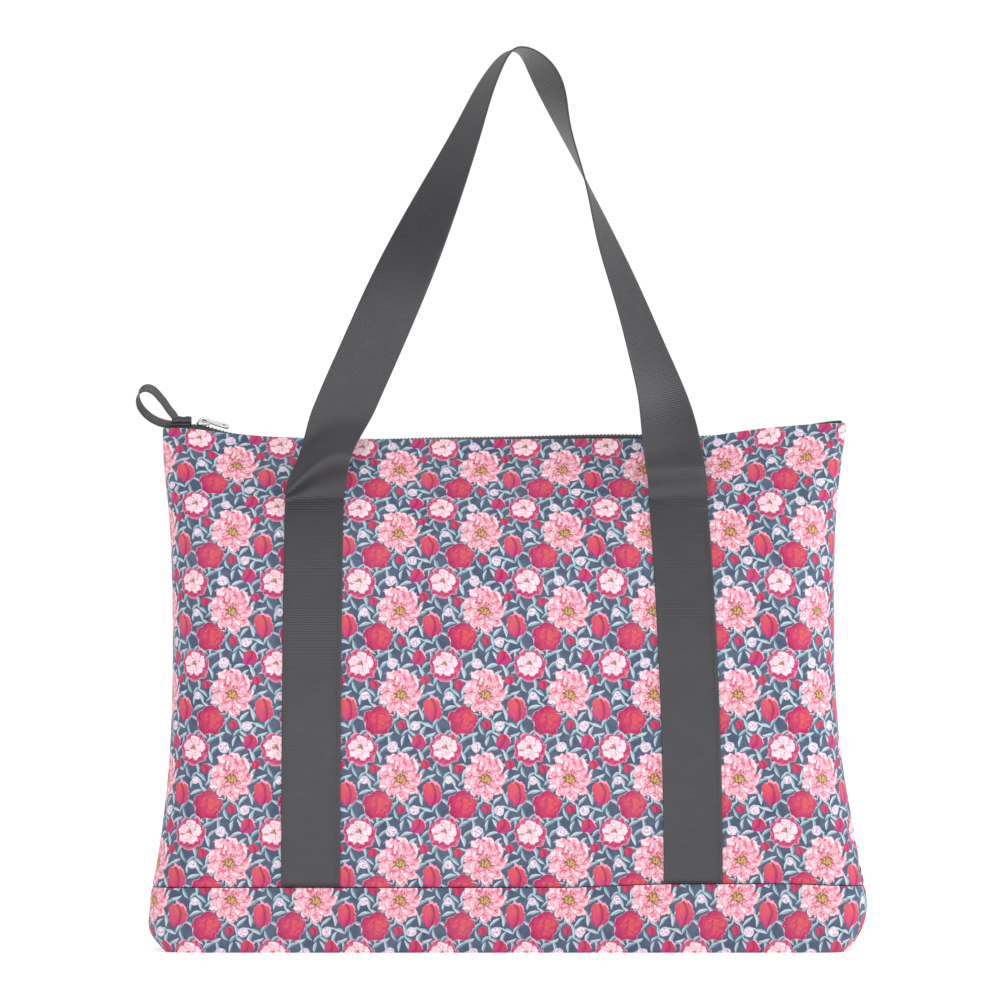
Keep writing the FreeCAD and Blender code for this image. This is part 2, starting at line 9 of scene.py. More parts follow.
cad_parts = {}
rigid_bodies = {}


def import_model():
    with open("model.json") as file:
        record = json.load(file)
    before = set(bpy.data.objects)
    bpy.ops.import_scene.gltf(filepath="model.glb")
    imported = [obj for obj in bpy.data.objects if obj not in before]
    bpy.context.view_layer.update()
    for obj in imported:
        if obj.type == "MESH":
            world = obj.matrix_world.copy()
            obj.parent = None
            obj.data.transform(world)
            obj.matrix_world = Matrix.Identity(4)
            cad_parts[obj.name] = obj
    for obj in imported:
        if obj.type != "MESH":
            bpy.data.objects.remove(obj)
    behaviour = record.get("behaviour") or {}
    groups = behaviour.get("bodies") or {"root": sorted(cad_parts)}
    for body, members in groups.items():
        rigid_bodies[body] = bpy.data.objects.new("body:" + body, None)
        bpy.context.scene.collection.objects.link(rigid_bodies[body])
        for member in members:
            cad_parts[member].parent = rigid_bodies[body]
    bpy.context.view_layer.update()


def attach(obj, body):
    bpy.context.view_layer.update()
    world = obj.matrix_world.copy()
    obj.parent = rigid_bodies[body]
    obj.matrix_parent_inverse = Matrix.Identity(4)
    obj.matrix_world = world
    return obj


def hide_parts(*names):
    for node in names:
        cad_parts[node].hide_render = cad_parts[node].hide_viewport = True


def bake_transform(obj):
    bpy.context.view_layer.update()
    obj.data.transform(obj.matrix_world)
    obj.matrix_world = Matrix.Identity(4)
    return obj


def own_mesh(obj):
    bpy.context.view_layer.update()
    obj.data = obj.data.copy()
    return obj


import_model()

# Everything below is worked out in millimetres and scaled to metres when a mesh is made.
MM = 0.001

# ---- the bag's shape ----

# Height, middle, half width, half depth and corner radius of the shell's outer face, from base seam to
# top edge. The middle wanders because the filled bag leans a little to one side.
SHELL = np.array((
    (45.4, 0.3, 248.5, 70, 24),
    (90, -0.3, 241.2, 70, 30),
    (150, -2.2, 234, 68, 36),
    (240, -3.3, 231.8, 56, 36),
    (316, -3.8, 235.2, 33, 24),
    (342, -3.5, 238.2, 20.5, 15),
    (364, -2.3, 240.3, 9, 7),
))
BASE = np.array((
    (0, -1.2, 237.6, 65, 24),
    (7, -1.5, 243.6, 68, 25),
    (15, -1.6, 248.0, 69.7, 25),
    (24, -0.4, 249.8, 70.5, 25),
    (45, 0.3, 248.8, 70.2, 24),
))
# How far the top edge stands above or below its nominal height along the bag, and the zip's chain above
# that edge: it sags between the handles and is pulled up at both ends.
EDGE_LIFT = ((-240, 1.4), (-222, 1.2), (-200, -1.5), (-150, -5.2), (-90, -6.2), (0, -6.4), (90, -6.0),
             (140, -4.6), (160, -1.6), (180, 1.2), (205, 3.5), (228, 4.9), (240, 5.2))
CHAIN_LIFT = ((-240, 2.0), (-225, 2.4), (-213, 2.0), (-203, 0.6), (-190, -0.9), (-150, -1.5), (-100, -1.2),
              (-60, 0.2), (0, 1.1), (60, 2.1), (100, 2.0), (135, 0.4), (155, -1.4), (200, -1.8), (216, -0.6),
              (228, 0.5), (240, 0.9))
BASE_SEAM = 45.2
STITCH_LINE = 316
TOP = 364
# Points along half an outline's side wall, round its corner and along half its face.
OUTLINE_STEPS = (10, 14, 64)
WEBBING_HALF = 20.6
WEBBING_THICK = 1.4
STRAP_TOP = {"left": -135.5, "right": 119}
STRAP_FOOT = {"left": -137.5, "right": 129}

# Height of a handle's foot below the stitch line, with its distance off the panel.
FOOT = ((306, 0.6), (309.5, 1.05), (315, 1.15))
# A handle's hinge line on the back, how far it swings, and how much webbing bends between foot and handle.
HINGE = (0, 35.8, 316)
SWING = 158
BEND = {"front": 62, "back": 26}

# The raised handle's middle line above its feet: across, depth, height, and its twist in degrees from
# facing forwards.
HANDLE_ROUTE = np.array((
    (-134.4, 33.2, 326, 0),
    (-130.5, 33.4, 339, 0),
    (-122.5, 33.4, 360, 0),
    (-111, 32.8, 388, 0),
    (-99.5, 32, 414, 0),
    (-81, 30.5, 456, 9),
    (-62, 29, 498, 28),
    (-43, 27.5, 540, 48),
    (-25, 26, 582, 65),
    (-9, 25, 617, 78),
    (5, 24.5, 631, 91),
    (21.5, 24.5, 619, 113),
    (37.5, 25, 582, 105),
    (54, 26, 540, 89),
    (69, 27.5, 498, 71.5),
    (85, 29, 456, 60),
    (99.5, 31, 414, 47),
    (107.5, 32, 389, 35),
    (113, 33, 364, 17),
    (116.8, 34, 340, 4),
    (118.7, 33.2, 327, 0),
))


def spline(knots, values, ends=None):
    """The cubic spline through values at knots, as a function. ends gives its slopes at both ends."""
    t, v = np.array(knots, float), np.array(values, float)
    v = v.reshape(len(t), -1)
    step = np.diff(t)
    slope = np.diff(v, axis=0) / step[:, None]
    system = np.zeros((len(t), len(t)))
    right = np.zeros_like(v)
    for i in range(1, len(t) - 1):
        system[i, i - 1 : i + 2] = step[i - 1], 2 * (step[i - 1] + step[i]), step[i]
        right[i] = 6 * (slope[i] - slope[i - 1])
    if ends is None:
        system[0, 0] = system[-1, -1] = 1
    else:
        system[0, :2] = 2 * step[0], step[0]
        right[0] = 6 * (slope[0] - ends[0])
        system[-1, -2:] = step[-1], 2 * step[-1]
        right[-1] = 6 * (ends[1] - slope[-1])
    bend = np.linalg.solve(system, right)

    def at(x):
        x = np.atleast_1d(np.asarray(x, float))
        i = np.clip(np.searchsorted(t, x) - 1, 0, len(t) - 2)
        h, a, b = step[i][:, None], (x - t[i])[:, None], (t[i + 1] - x)[:, None]
        curve = (bend[i] * b**3 + bend[i + 1] * a**3) / (6 * h)
        return curve + (v[i] / h - bend[i] * h / 6) * b + (v[i + 1] / h - bend[i + 1] * h / 6) * a

    return at


shell_at = spline(SHELL[:, 0], SHELL[:, 1:])
base_at = spline(BASE[:, 0], BASE[:, 1:])
edge_lift = spline(*zip(*EDGE_LIFT))
chain_lift = spline(*zip(*CHAIN_LIFT))


def edge_rise(x):
    return edge_lift(x)[0, 0]


def smooth(low, high, x):
    t = np.clip((np.asarray(x, float) - low) / (high - low), 0, 1)
    return t * t * (3 - 2 * t)


def bump(x, centre, width):
    return np.exp(-(((x - centre) / width) ** 2))


def cloud(x, y, z=0.0):
    return noise.noise(Vector((x, y, z)))


def outline(wide, deep, corner):
    """Half the shell's outline from its left side seam round the front to its right one, as x, y pairs."""
    wall, turn, face = OUTLINE_STEPS
    half, side = wide - corner, deep - corner
    points = [(-wide, -side * i / wall) for i in range(wall)]
    for angle in np.linspace(pi, 1.5 * pi, turn, endpoint=False):
        points.append((-half + corner * cos(angle), -side + corner * sin(angle)))
    points += [(-half + half * i / face, -deep) for i in range(face + 1)]
    return np.array(points + [(-x, y) for x, y in points[-2::-1]])


def lengths(points):
    """Distance along a line of points from its first one."""
    steps = np.linalg.norm(np.diff(np.array(points, float), axis=0), axis=1)
    return np.concatenate(([0], np.cumsum(steps)))


def unit(vectors):
    return vectors / np.linalg.norm(vectors, axis=-1, keepdims=True)


def directions(points):
    """Unit vectors along a line of points."""
    return unit(np.gradient(np.array(points, float), axis=0))


def outwards(ring):
    """Unit normals of an outline that runs round the bag, as x, y pairs."""
    run = directions(ring)
    return np.stack((run[:, 1], -run[:, 0]), 1)


def wrinkle(x, z, seed):
    """Soft folds of the filled cloth, in millimetres outwards."""
    tall = cloud(x * 0.016, z * 0.006, seed)
    slant = cloud(x * 0.011 + z * 0.017, z * 0.02 - x * 0.009, seed + 7)
    small = cloud(x * 0.05, z * 0.022, seed + 13)
    return 1.5 * tall + 1.0 * slant + 0.35 * small


def seam_pull(x, z):
    """The cloth drawn in along the base seam and puckered beside it."""
    pucker = cloud(x * 0.075, 3.1)
    return -1.3 * bump(z, BASE_SEAM, 1.9) + bump(z, BASE_SEAM, 9) * (0.5 + 0.8 * pucker)


def seam_rise(x):
    """The base seam sits a little higher towards one side, where the filled bag leans on it."""
    return 2.6 * smooth(30, 120, x) * (1 - 0.6 * smooth(190, 248, x))


def strap_middle(side, z):
    share = (z - 45.4) / (STITCH_LINE - 45.4)
    return STRAP_FOOT[side] + (STRAP_TOP[side] - STRAP_FOOT[side]) * share**2


def face_depth(x, z, seed=0.0, lean=1):
    """How far the panel's outer face stands in front of the bag's middle, where x is on its flat part."""
    middle, wide, deep, corner = shell_at(z)[0]
    crown = 2.2 * max(0.0, 1 - ((x - lean * middle) / (wide - corner)) ** 2)
    crown *= smooth(60, 130, z) * (1 - smooth(280, 350, z))
    rough = wrinkle(x, z, seed) * smooth(52, 90, z) * (1 - 0.75 * smooth(300, 360, z))
    return deep + crown + rough + seam_pull(x, z)


def print_width(z):
    """Share of the flat cloth's width that's left where it is eased on to the zip, and near the base."""
    return 1 + 0.012 * (1 - smooth(60, 150, z)) - 0.03 * smooth(250, 340, z)


def panel_rows(seed, lean):
    """Rows of points up a panel's outer face and over its hemmed top, with their places in the flat cloth.

    lean is 1 for the front. It is -1 for the back, which is turned round once it's made."""
    heights = np.concatenate(([45.4, 46.2, 47.4, 49, 51.5, 55], np.linspace(59, TOP, 84)))
    rise = 0
    rows, places = [], []
    for index, z in enumerate(heights):
        middle, wide, deep, corner = shell_at(z)[0]
        if index:
            before = heights[index - 1]
            easing = 1 + 0.02 * smooth(235, 260, z) + 0.13 * smooth(298, 322, z)
            rise += easing * hypot(z - before, deep - shell_at(before)[0][2])
        ring = outline(wide, deep, corner)
        normals = outwards(ring)
        along = lengths(ring)
        along = along - along[len(along) // 2] + lean * middle * (1 - smooth(200, 330, z))
        along = along / print_width(z)
        row = []
        for (x, y), (nx, ny) in zip(ring, normals):
            facing = abs(ny)
            push = (face_depth(x + lean * middle, z, seed, lean) - deep) * facing
            push += (seam_pull(y * 3.1, z) - 0.9 * bump(y, 0, 1.6)) * (1 - facing)
            lift = edge_rise(lean * x) * smooth(262, TOP, z)
            lift += seam_rise(lean * x) * (1 - smooth(46, 110, z))
            row.append((x + lean * middle + nx * push, y + ny * push, z + lift))
        rows.append(row)
        places.append([(u, rise) for u in along])
    top = np.array(rows[-1])
    for inward, drop, used in ((0.5, -0.5, 1), (1.3, -0.3, 2), (1.8, 1.5, 4), (1.8, 9, 11)):
        rows.append(top - np.column_stack((normals * inward, np.full(len(top), drop))))
        places.append([(u, rise + used) for u in along])
    return np.array(rows), np.array(places)


# ---- meshes ----


def put(name, data):
    """A new object in the scene."""
    obj = bpy.data.objects.new(name, data)
    bpy.context.scene.collection.objects.link(obj)
    return obj


def make_object(name, points, faces, corners=None, smooth_faces=True):
    """A mesh object from points in millimetres. corners gives each face's own uvs, in millimetres too."""
    mesh = bpy.data.meshes.new(name)
    mesh.from_pydata([tuple(MM * c for c in p) for p in points], [], faces)
    if corners is not None:
        flat = np.array([uv for face in corners for uv in face], dtype=np.float32) * MM
        mesh.uv_layers.new(name="UVMap").data.foreach_set("uv", flat.ravel())
    mesh.polygons.foreach_set("use_smooth", [smooth_faces] * len(mesh.polygons))
    mesh.update()
    return put(name, mesh)


def weld(obj):
    """Join points that lie on each other, keeping each face's own uvs."""
    shape = bmesh.new()
    shape.from_mesh(obj.data)
    bmesh.ops.remove_doubles(shape, verts=shape.verts, dist=1e-6)
    shape.to_mesh(obj.data)
    shape.free()
    return obj


def grid(name, rows, places, closed=False, skip=()):
    """A sheet through rows of points, all of the same length, or a closed tube with flat ends.

    skip leaves out strips between rows."""
    rows = np.array(rows, float)
    count, width = rows.shape[:2]
    faces, corners = [], []
    for i in (i for i in range(count - 1) if i not in skip):
        for j in range(width if closed else width - 1):
            k = (j + 1) % width
            ring = ((i, j), (i, k), (i + 1, k), (i + 1, j))
            faces.append([a * width + b for a, b in ring])
            corners.append([places[a][b] for a, b in ring])
    if not closed:
        return make_object(name, rows.reshape(-1, 3), faces, corners)
    for row, turn in ((0, -1), (count - 1, 1)):
        order = range(width)[::turn]
        faces.append([row * width + j for j in order])
        corners.append([places[0][j] for j in order])
    tube = make_object(name, rows.reshape(-1, 3), faces, corners)
    for end in (-2, -1):
        tube.data.polygons[end].use_smooth = False
    return tube


def configure(thing, settings):
    for key, setting in settings.items():
        setattr(thing, key, setting)
    return thing


def add_modifier(obj, kind, **settings):
    configure(obj.modifiers.new(kind.title(), kind), settings)


def freeze(obj):
    """Replace the object's mesh with what its modifiers make of it."""
    bpy.context.view_layer.update()
    evaluated = obj.evaluated_get(bpy.context.evaluated_depsgraph_get())
    mesh = bpy.data.meshes.new_from_object(evaluated)
    obj.modifiers.clear()
    obj.data = mesh
    return obj


def thicken(obj, thickness, offset=-1.0):
    """Give a sheet its thickness and round it off."""
    add_modifier(obj, "SOLIDIFY", thickness=thickness * MM, offset=offset)
    add_modifier(obj, "SUBSURF", levels=1, render_levels=1)
    return freeze(obj)


def band_profile(half_width, half_thick, turns=4, across=8):
    """A flat strap's cross-section with rounded edges, as (across, through) pairs."""
    flat = half_width - half_thick
    points = []
    for side in (1, -1):
        for i in range(across + 1):
            points.append((side * (-flat + 2 * flat * i / across), -side * half_thick))
        for i in range(1, turns):
            angle = -pi / 2 + pi * i / turns
            points.append((side * (flat + half_thick * cos(angle)), side * half_thick * sin(angle)))
    return points


def band(name, middles, acrosses, throughs, half_width, half_thick):
    """A flat strap along middles, with one direction across and one through it or one for each station."""
    profile = band_profile(half_width, half_thick)
    stations = [np.broadcast_to(v, (len(middles), 3)) for v in (middles, acrosses, throughs)]
    rows, places = [], []
    for middle, across, through, run in zip(*stations, lengths(middles)):
        rows.append([middle + across * a + through * b for a, b in profile])
        places.append([(a, run) for a, b in profile])
    return grid(name, rows, places, closed=True)


def ring_faces(first, rings, width):
    """Faces of a closed run of rings whose points start at number first: its sides, then its two ends."""
    faces = []
    for low in range(first, first + width * (rings - 1), width):
        for j in range(width):
            k = (j + 1) % width
            faces.append([low + j, low + k, low + width + k, low + width + j])
    last = first + width * (rings - 1)
    return faces + [[first + j for j in range(width)][::-1], [last + j for j in range(width)]]


def blocks(name, items):
    """Small moulded blocks with chamfered ends. Each is (centre, half sizes, slope along x)."""
    points, faces = [], []
    for (x, y, z), (a, b, c), slope in items:
        first = len(points)
        for level, size in ((-1, 0.7), (-0.5, 1.0), (0.4, 1.0), (1, 0.55)):
            for sx, sy in ((-1, -1), (1, -1), (1, 1), (-1, 1)):
                across = sx * a * size
                points.append((x + across, y + sy * b * size, z + level * c + slope * across))
        faces += ring_faces(first, 4, 4)
    return make_object(name, points, faces, smooth_faces=False)


def plate(name, edge, low, high, bevel, hole=None):
    """A flat cast plate: an outline in x and y between two heights, with an optional round hole."""
    curve = bpy.data.curves.new(name, "CURVE")
    configure(curve, {"dimensions": "2D", "fill_mode": "BOTH"})
    rings = [edge]
    if hole:
        (x, y), radius = hole
        angles = np.linspace(0, 2 * pi, 20, endpoint=False)
        rings.append([(x + radius * cos(a), y + radius * sin(a)) for a in angles])
    for ring in rings:
        line = curve.splines.new("POLY")
        line.points.add(len(ring) - 1)
        line.use_cyclic_u = True
        for point, (x, y) in zip(line.points, ring):
            point.co = (x * MM, y * MM, 0, 1)
    curve.extrude = ((high - low) / 2 - bevel) * MM
    curve.bevel_depth = bevel * MM
    curve.bevel_resolution = 2
    curve.offset = -bevel * MM
    maker = put(name + "_curve", curve)
    maker.location = (0, 0, (low + high) / 2 * MM)
    bpy.context.view_layer.update()
    mesh = bpy.data.meshes.new_from_object(maker.evaluated_get(bpy.context.evaluated_depsgraph_get()))
    mesh.transform(maker.matrix_world)
    bpy.data.objects.remove(maker)
    return put(name, mesh)


def merge(name, *parts):
    """One object from several that all stand at the origin."""
    shape = bmesh.new()
    for part in parts:
        shape.from_mesh(part.data)
        bpy.data.objects.remove(part)
    mesh = bpy.data.meshes.new(name)
    shape.to_mesh(mesh)
    shape.free()
    return put(name, mesh)


def turned(obj, pivot, angle, axis):
    """Turn an object's mesh about an axis through a point."""
    pivot = Vector(pivot) * MM
    turn = Matrix.Rotation(radians(angle), 4, axis)
    obj.data.transform(Matrix.Translation(pivot) @ turn @ Matrix.Translation(-pivot))


# ---- materials ----


def linear(red, green, blue):
    """A display colour of 0 to 255 as the linear colour that shaders use."""
    values = (red / 255, green / 255, blue / 255)
    return tuple(v / 12.92 if v <= 0.04045 else ((v + 0.055) / 1.055) ** 2.4 for v in values) + (1,)


class Nodes:
    """A node tree, built by calling one method for each node."""

    def __init__(self, tree):
        self.tree = tree

    def node(self, kind, **settings):
        return configure(self.tree.nodes.new(kind), settings)

    def feed(self, socket, value):
        if isinstance(value, bpy.types.NodeSocket):
            self.tree.links.new(value, socket)
        elif value is not None:
            socket.default_value = value

    def wired(self, kind, **inputs):
        """A node with some of its inputs fed by name."""
        made = self.node(kind)
        for key, value in inputs.items():
            self.feed(made.inputs[key], value)
        return made.outputs[0]

    def math(self, operation, a, b=None, c=None):
        made = self.node("ShaderNodeMath", operation=operation)
        for socket, value in zip(made.inputs, (a, b, c)):
            self.feed(socket, value)
        return made.outputs[0]

    def multiply_add(self, a, b, c):
        return self.math("MULTIPLY_ADD", a, b, c)

    def distance(self, x, y):
        return self.math("SQRT", self.multiply_add(x, x, self.math("MULTIPLY", y, y)))

    def vector(self, operation, a, b=None, c=None):
        made = self.node("ShaderNodeVectorMath", operation=operation)
        for socket, value in zip(made.inputs, (a, b, c)):
            self.feed(socket, value)
        return made.outputs["Value" if operation in ("LENGTH", "DOT_PRODUCT") else "Vector"]

    def ramp(self, value, low, high, out_low=0.0, out_high=1.0):
        made = self.node("ShaderNodeMapRange", interpolation_type="SMOOTHSTEP")
        for socket, given in zip(made.inputs, (value, low, high, out_low, out_high)):
            self.feed(socket, given)
        return made.outputs[0]

    def mix(self, factor, a, b):
        made = self.node("ShaderNodeMix", data_type="RGBA")
        for index, value in ((0, factor), (6, a), (7, b)):
            self.feed(made.inputs[index], value)
        return made.outputs[2]

    def noise(self, vector, scale, detail=2.0, rough=0.5):
        return self.wired("ShaderNodeTexNoise", Vector=vector, Scale=scale, Detail=detail, Roughness=rough)

    def split(self, vector):
        made = self.node("ShaderNodeSeparateXYZ")
        self.feed(made.inputs[0], vector)
        return tuple(made.outputs)

    def scaled(self, vector, factor):
        made = self.vector("SCALE", vector)
        self.feed(made.node.inputs["Scale"], factor)
        return made

    def joined(self, x, y, z=0.0):
        made = self.node("ShaderNodeCombineXYZ")
        for socket, value in zip(made.inputs, (x, y, z)):
            self.feed(socket, value)
        return made.outputs[0]


class Shader(Nodes):
    """A material with one principled surface."""

    def __init__(self, name):
        self.material = bpy.data.materials.new(name)
        self.material.use_nodes = True
        super().__init__(self.material.node_tree)
        self.tree.nodes.clear()
        output = self.node("ShaderNodeOutputMaterial")
        self.surface = self.node("ShaderNodeBsdfPrincipled")
        self.tree.links.new(self.surface.outputs[0], output.inputs[0])

    def uv(self):
        return self.node("ShaderNodeUVMap", uv_map="UVMap").outputs[0]

    def objects(self):
        return self.node("ShaderNodeTexCoord").outputs["Object"]

    def bump(self, height, distance, strength=1.0):
        normal = self.wired("ShaderNodeBump", Height=height, Distance=distance, Strength=strength)
        self.feed(self.surface.inputs["Normal"], normal)

    def finish(self, **inputs):
        for key, value in inputs.items():
            self.feed(self.surface.inputs[key.replace("_", " ")], value)
        return self.material


TILE = 58.8
SLATE = linear(62, 75, 99)
SLATE_LIGHT = linear(76, 89, 112)
LEAF_PALE = linear(184, 201, 209)
LEAF_TEAL = linear(100, 138, 153)
WHITE = linear(244, 215, 223)
BLUSH = linear(236, 182, 198)
ROSE = linear(210, 110, 140)
CORAL = linear(200, 70, 100)
MAGENTA = linear(178, 38, 96)
WINE = linear(130, 26, 72)
RED = linear(190, 50, 82)
ORANGE = linear(206, 82, 86)


class Print(Shader):
    """A repeating floral print in the cloth's own flat coordinates, with the flowers drawn as shapes."""

    def __init__(self, name, phase):
        super().__init__(name)
        place = self.scaled(self.uv(), 1 / (TILE * MM))
        place = self.vector("SUBTRACT", place, (phase[0] / TILE, phase[1] / TILE, 0))
        hand = self.noise(place, 9.0, 1.0)
        drift = self.scaled(self.vector("SUBTRACT", hand.node.outputs[1], (0.5, 0.5, 0.5)), 0.035)
        self.place = self.vector("ADD", place, drift)
        self.grain = hand
        self.colour = self.mix(self.ramp(self.noise(place, 7.0, 2.0), 0.35, 0.65), SLATE, SLATE_LIGHT)

    def local(self, centre, radius, angle=0.0, stretch=1.0, repeat=1.0):
        """Coordinates about a motif's centre, wrapped to the repeat, in units of its radius."""
        half = 0.5 * repeat
        p = self.vector("SUBTRACT", self.place, (centre[0], centre[1], 0))
        p = self.vector("WRAP", p, (half, half, 1), (-half, -half, -1))
        c, s = cos(angle) / radius, sin(angle) / radius
        x = self.vector("DOT_PRODUCT", p, (c, s, 0))
        y = self.vector("DOT_PRODUCT", p, (-s / stretch, c / stretch, 0))
        return x, y

    def lay(self, mask, colour):
        self.colour = self.mix(mask, self.colour, colour)

    def leaf(self, centre, angle, length, bend, pale, repeat=0.5):
        """A pointed leaf, pale along one side of its bent midrib and darker along the other."""
        x, y = self.local(centre, length, angle, 1.0, repeat)
        square = self.math("MULTIPLY", x, x)
        middle = self.multiply_add(square, bend, y)
        half = self.multiply_add(square, -0.27, 0.27)
        inside = self.math("SUBTRACT", half, self.math("ABSOLUTE", middle))
        tone = self.multiply_add(self.grain, 0.25, middle)
        tone = self.math("MAXIMUM", self.ramp(tone, 0.06, 0.2, pale - 0.4, pale + 0.3), 0.0)
        colour = self.mix(tone, LEAF_TEAL, LEAF_PALE)
        self.lay(self.ramp(inside, 0.0, 0.06), colour)

    def ball(self, centre, radius):
        """A small round head of tiny pale florets."""
        x, y = self.local(centre, radius)
        r = self.distance(x, y)
        r = self.math("ADD", r, self.multiply_add(self.grain, 0.5, -0.25))
        spots = self.ramp(self.noise(self.place, 52.0, 1.0), 0.4, 0.6)
        body = self.mix(spots, linear(186, 150, 182), linear(240, 226, 230))
        body = self.mix(self.ramp(r, 0.5, 1.0), body, linear(200, 196, 214))
        self.lay(self.ramp(r, 1.05, 0.85), body)

    def bud(self, centre, radius, stretch, angle, top, foot, rim, lean=0.25):
        """A closed flower of wrapped petals, with a pale edge curling round one side."""
        x, y = self.local(centre, radius, angle, stretch)
        wave = self.multiply_add(self.noise(self.joined(x, y, lean), 2.6, 2.0), 0.7, -0.35)
        r = self.distance(x, y)
        r = self.math("ADD", r, wave)
        patch = self.noise(self.joined(self.math("MULTIPLY", x, 2.2), y, 9.0), 2.4, 2.0)
        patch = self.multiply_add(patch, 2.4, self.math("SUBTRACT", y, 1.2))
        body = self.mix(self.ramp(patch, -0.7, 0.7), foot, top)
        fold = self.multiply_add(self.math("MULTIPLY", y, y), 0.5, self.math("SUBTRACT", x, lean))
        body = self.mix(self.ramp(self.math("ABSOLUTE", fold), 0.02, 0.24, 0.75, 0.0), body, WINE)
        second = self.math("ABSOLUTE", self.math("ADD", fold, 0.6))
        body = self.mix(self.ramp(second, 0.02, 0.18, 0.6, 0.0), body, CORAL)
        curl = self.multiply_add(x, -0.25, self.multiply_add(y, -0.5, 1.3))
        body = self.mix(self.ramp(self.math("SUBTRACT", r, curl), -0.1, 0.0), body, rim)
        self.lay(self.ramp(r, 1.02, 0.92), body)

    def bloom(self, centre, radius, rings, heart, seed, cap=0.0, offset=(0.0, 0.0)):
        """An open flower, from its outer ring of petals to its heart.

        Each ring is (reach, petals, turn, depth of lobes, edge, light, shade, share of light). Streaks that
        fan out from the heart give the petals their folds. offset moves the inner rings."""
        x, y = self.local(centre, radius)
        if cap:
            y = self.multiply_add(self.ramp(y, 0.25, 1.1), -cap, y)
        ruffle = self.noise(self.joined(x, y, seed), 3.4, 2.5, 0.6)
        rough = self.multiply_add(ruffle, 0.5, -0.25)
        for index, (reach, petals, turn, lobes, edge, light, shade, bright) in enumerate(rings):
            inner = index / max(1, len(rings) - 1)
            px = self.math("SUBTRACT", x, offset[0] * inner)
            py = self.math("SUBTRACT", y, offset[1] * inner)
            r = self.distance(px, py)
            angle = self.multiply_add(ruffle, 0.5, self.math("ARCTAN2", py, px))
            gap = self.math("SINE", self.multiply_add(angle, petals / 2, turn))
            gap = self.math("ABSOLUTE", gap)
            limit = self.multiply_add(gap, lobes, reach - lobes)
            inside = self.math("SUBTRACT", limit, self.math("ADD", r, rough))
            safe = self.math("MAXIMUM", r, 0.05)
            run, rise = (self.math("DIVIDE", part, safe) for part in (px, py))
            fan = self.joined(run, rise, self.multiply_add(r, 1.6, seed + index))
            streak = self.multiply_add(self.noise(fan, 3.1, 2.0, 0.6), 2.4, -1.2)
            tone = self.math("ADD", self.multiply_add(inside, -0.7, bright), streak)
            body = self.mix(self.ramp(tone, 0.0, 0.75), shade, light)
            valley = self.ramp(self.multiply_add(ruffle, 0.3, gap), 0.18, 0.5, 0.85, 0.0)
            body = self.mix(valley, body, shade)
            body = self.mix(self.ramp(inside, 0.07, 0.0, 0.0, 0.8), body, edge)
            self.lay(self.ramp(inside, -0.012, 0.03), body)
        reach, core, dot = heart
        inside = self.math("SUBTRACT", reach, self.math("ADD", r, rough))
        stamens = self.ramp(self.noise(self.joined(x, y, seed + 4), 9.0, 1.0), 0.42, 0.58)
        self.lay(self.ramp(inside, 0.0, 0.08), self.mix(stamens, core, dot))


# Each leaf's place in half a repeat of the print, and its angle.
LEAVES = (
    (0.05, 0.05, 0.7), (0.15, 0.03, 2.5), (0.25, 0.06, 1.2), (0.36, 0.02, 0.3), (0.45, 0.08, 2.0),
    (0.1, 0.14, 1.8), (0.2, 0.16, 0.2), (0.32, 0.14, 2.8), (0.42, 0.18, 0.9), (0.03, 0.23, 2.6),
    (0.14, 0.25, 0.8), (0.25, 0.27, 1.9), (0.37, 0.26, 0.1), (0.48, 0.28, 1.5), (0.08, 0.35, 0.3),
    (0.19, 0.37, 2.4), (0.3, 0.36, 0.7), (0.42, 0.38, 2.9), (0.02, 0.45, 1.3), (0.13, 0.46, 2.0),
    (0.25, 0.47, 0.5), (0.37, 0.46, 1.7),
)


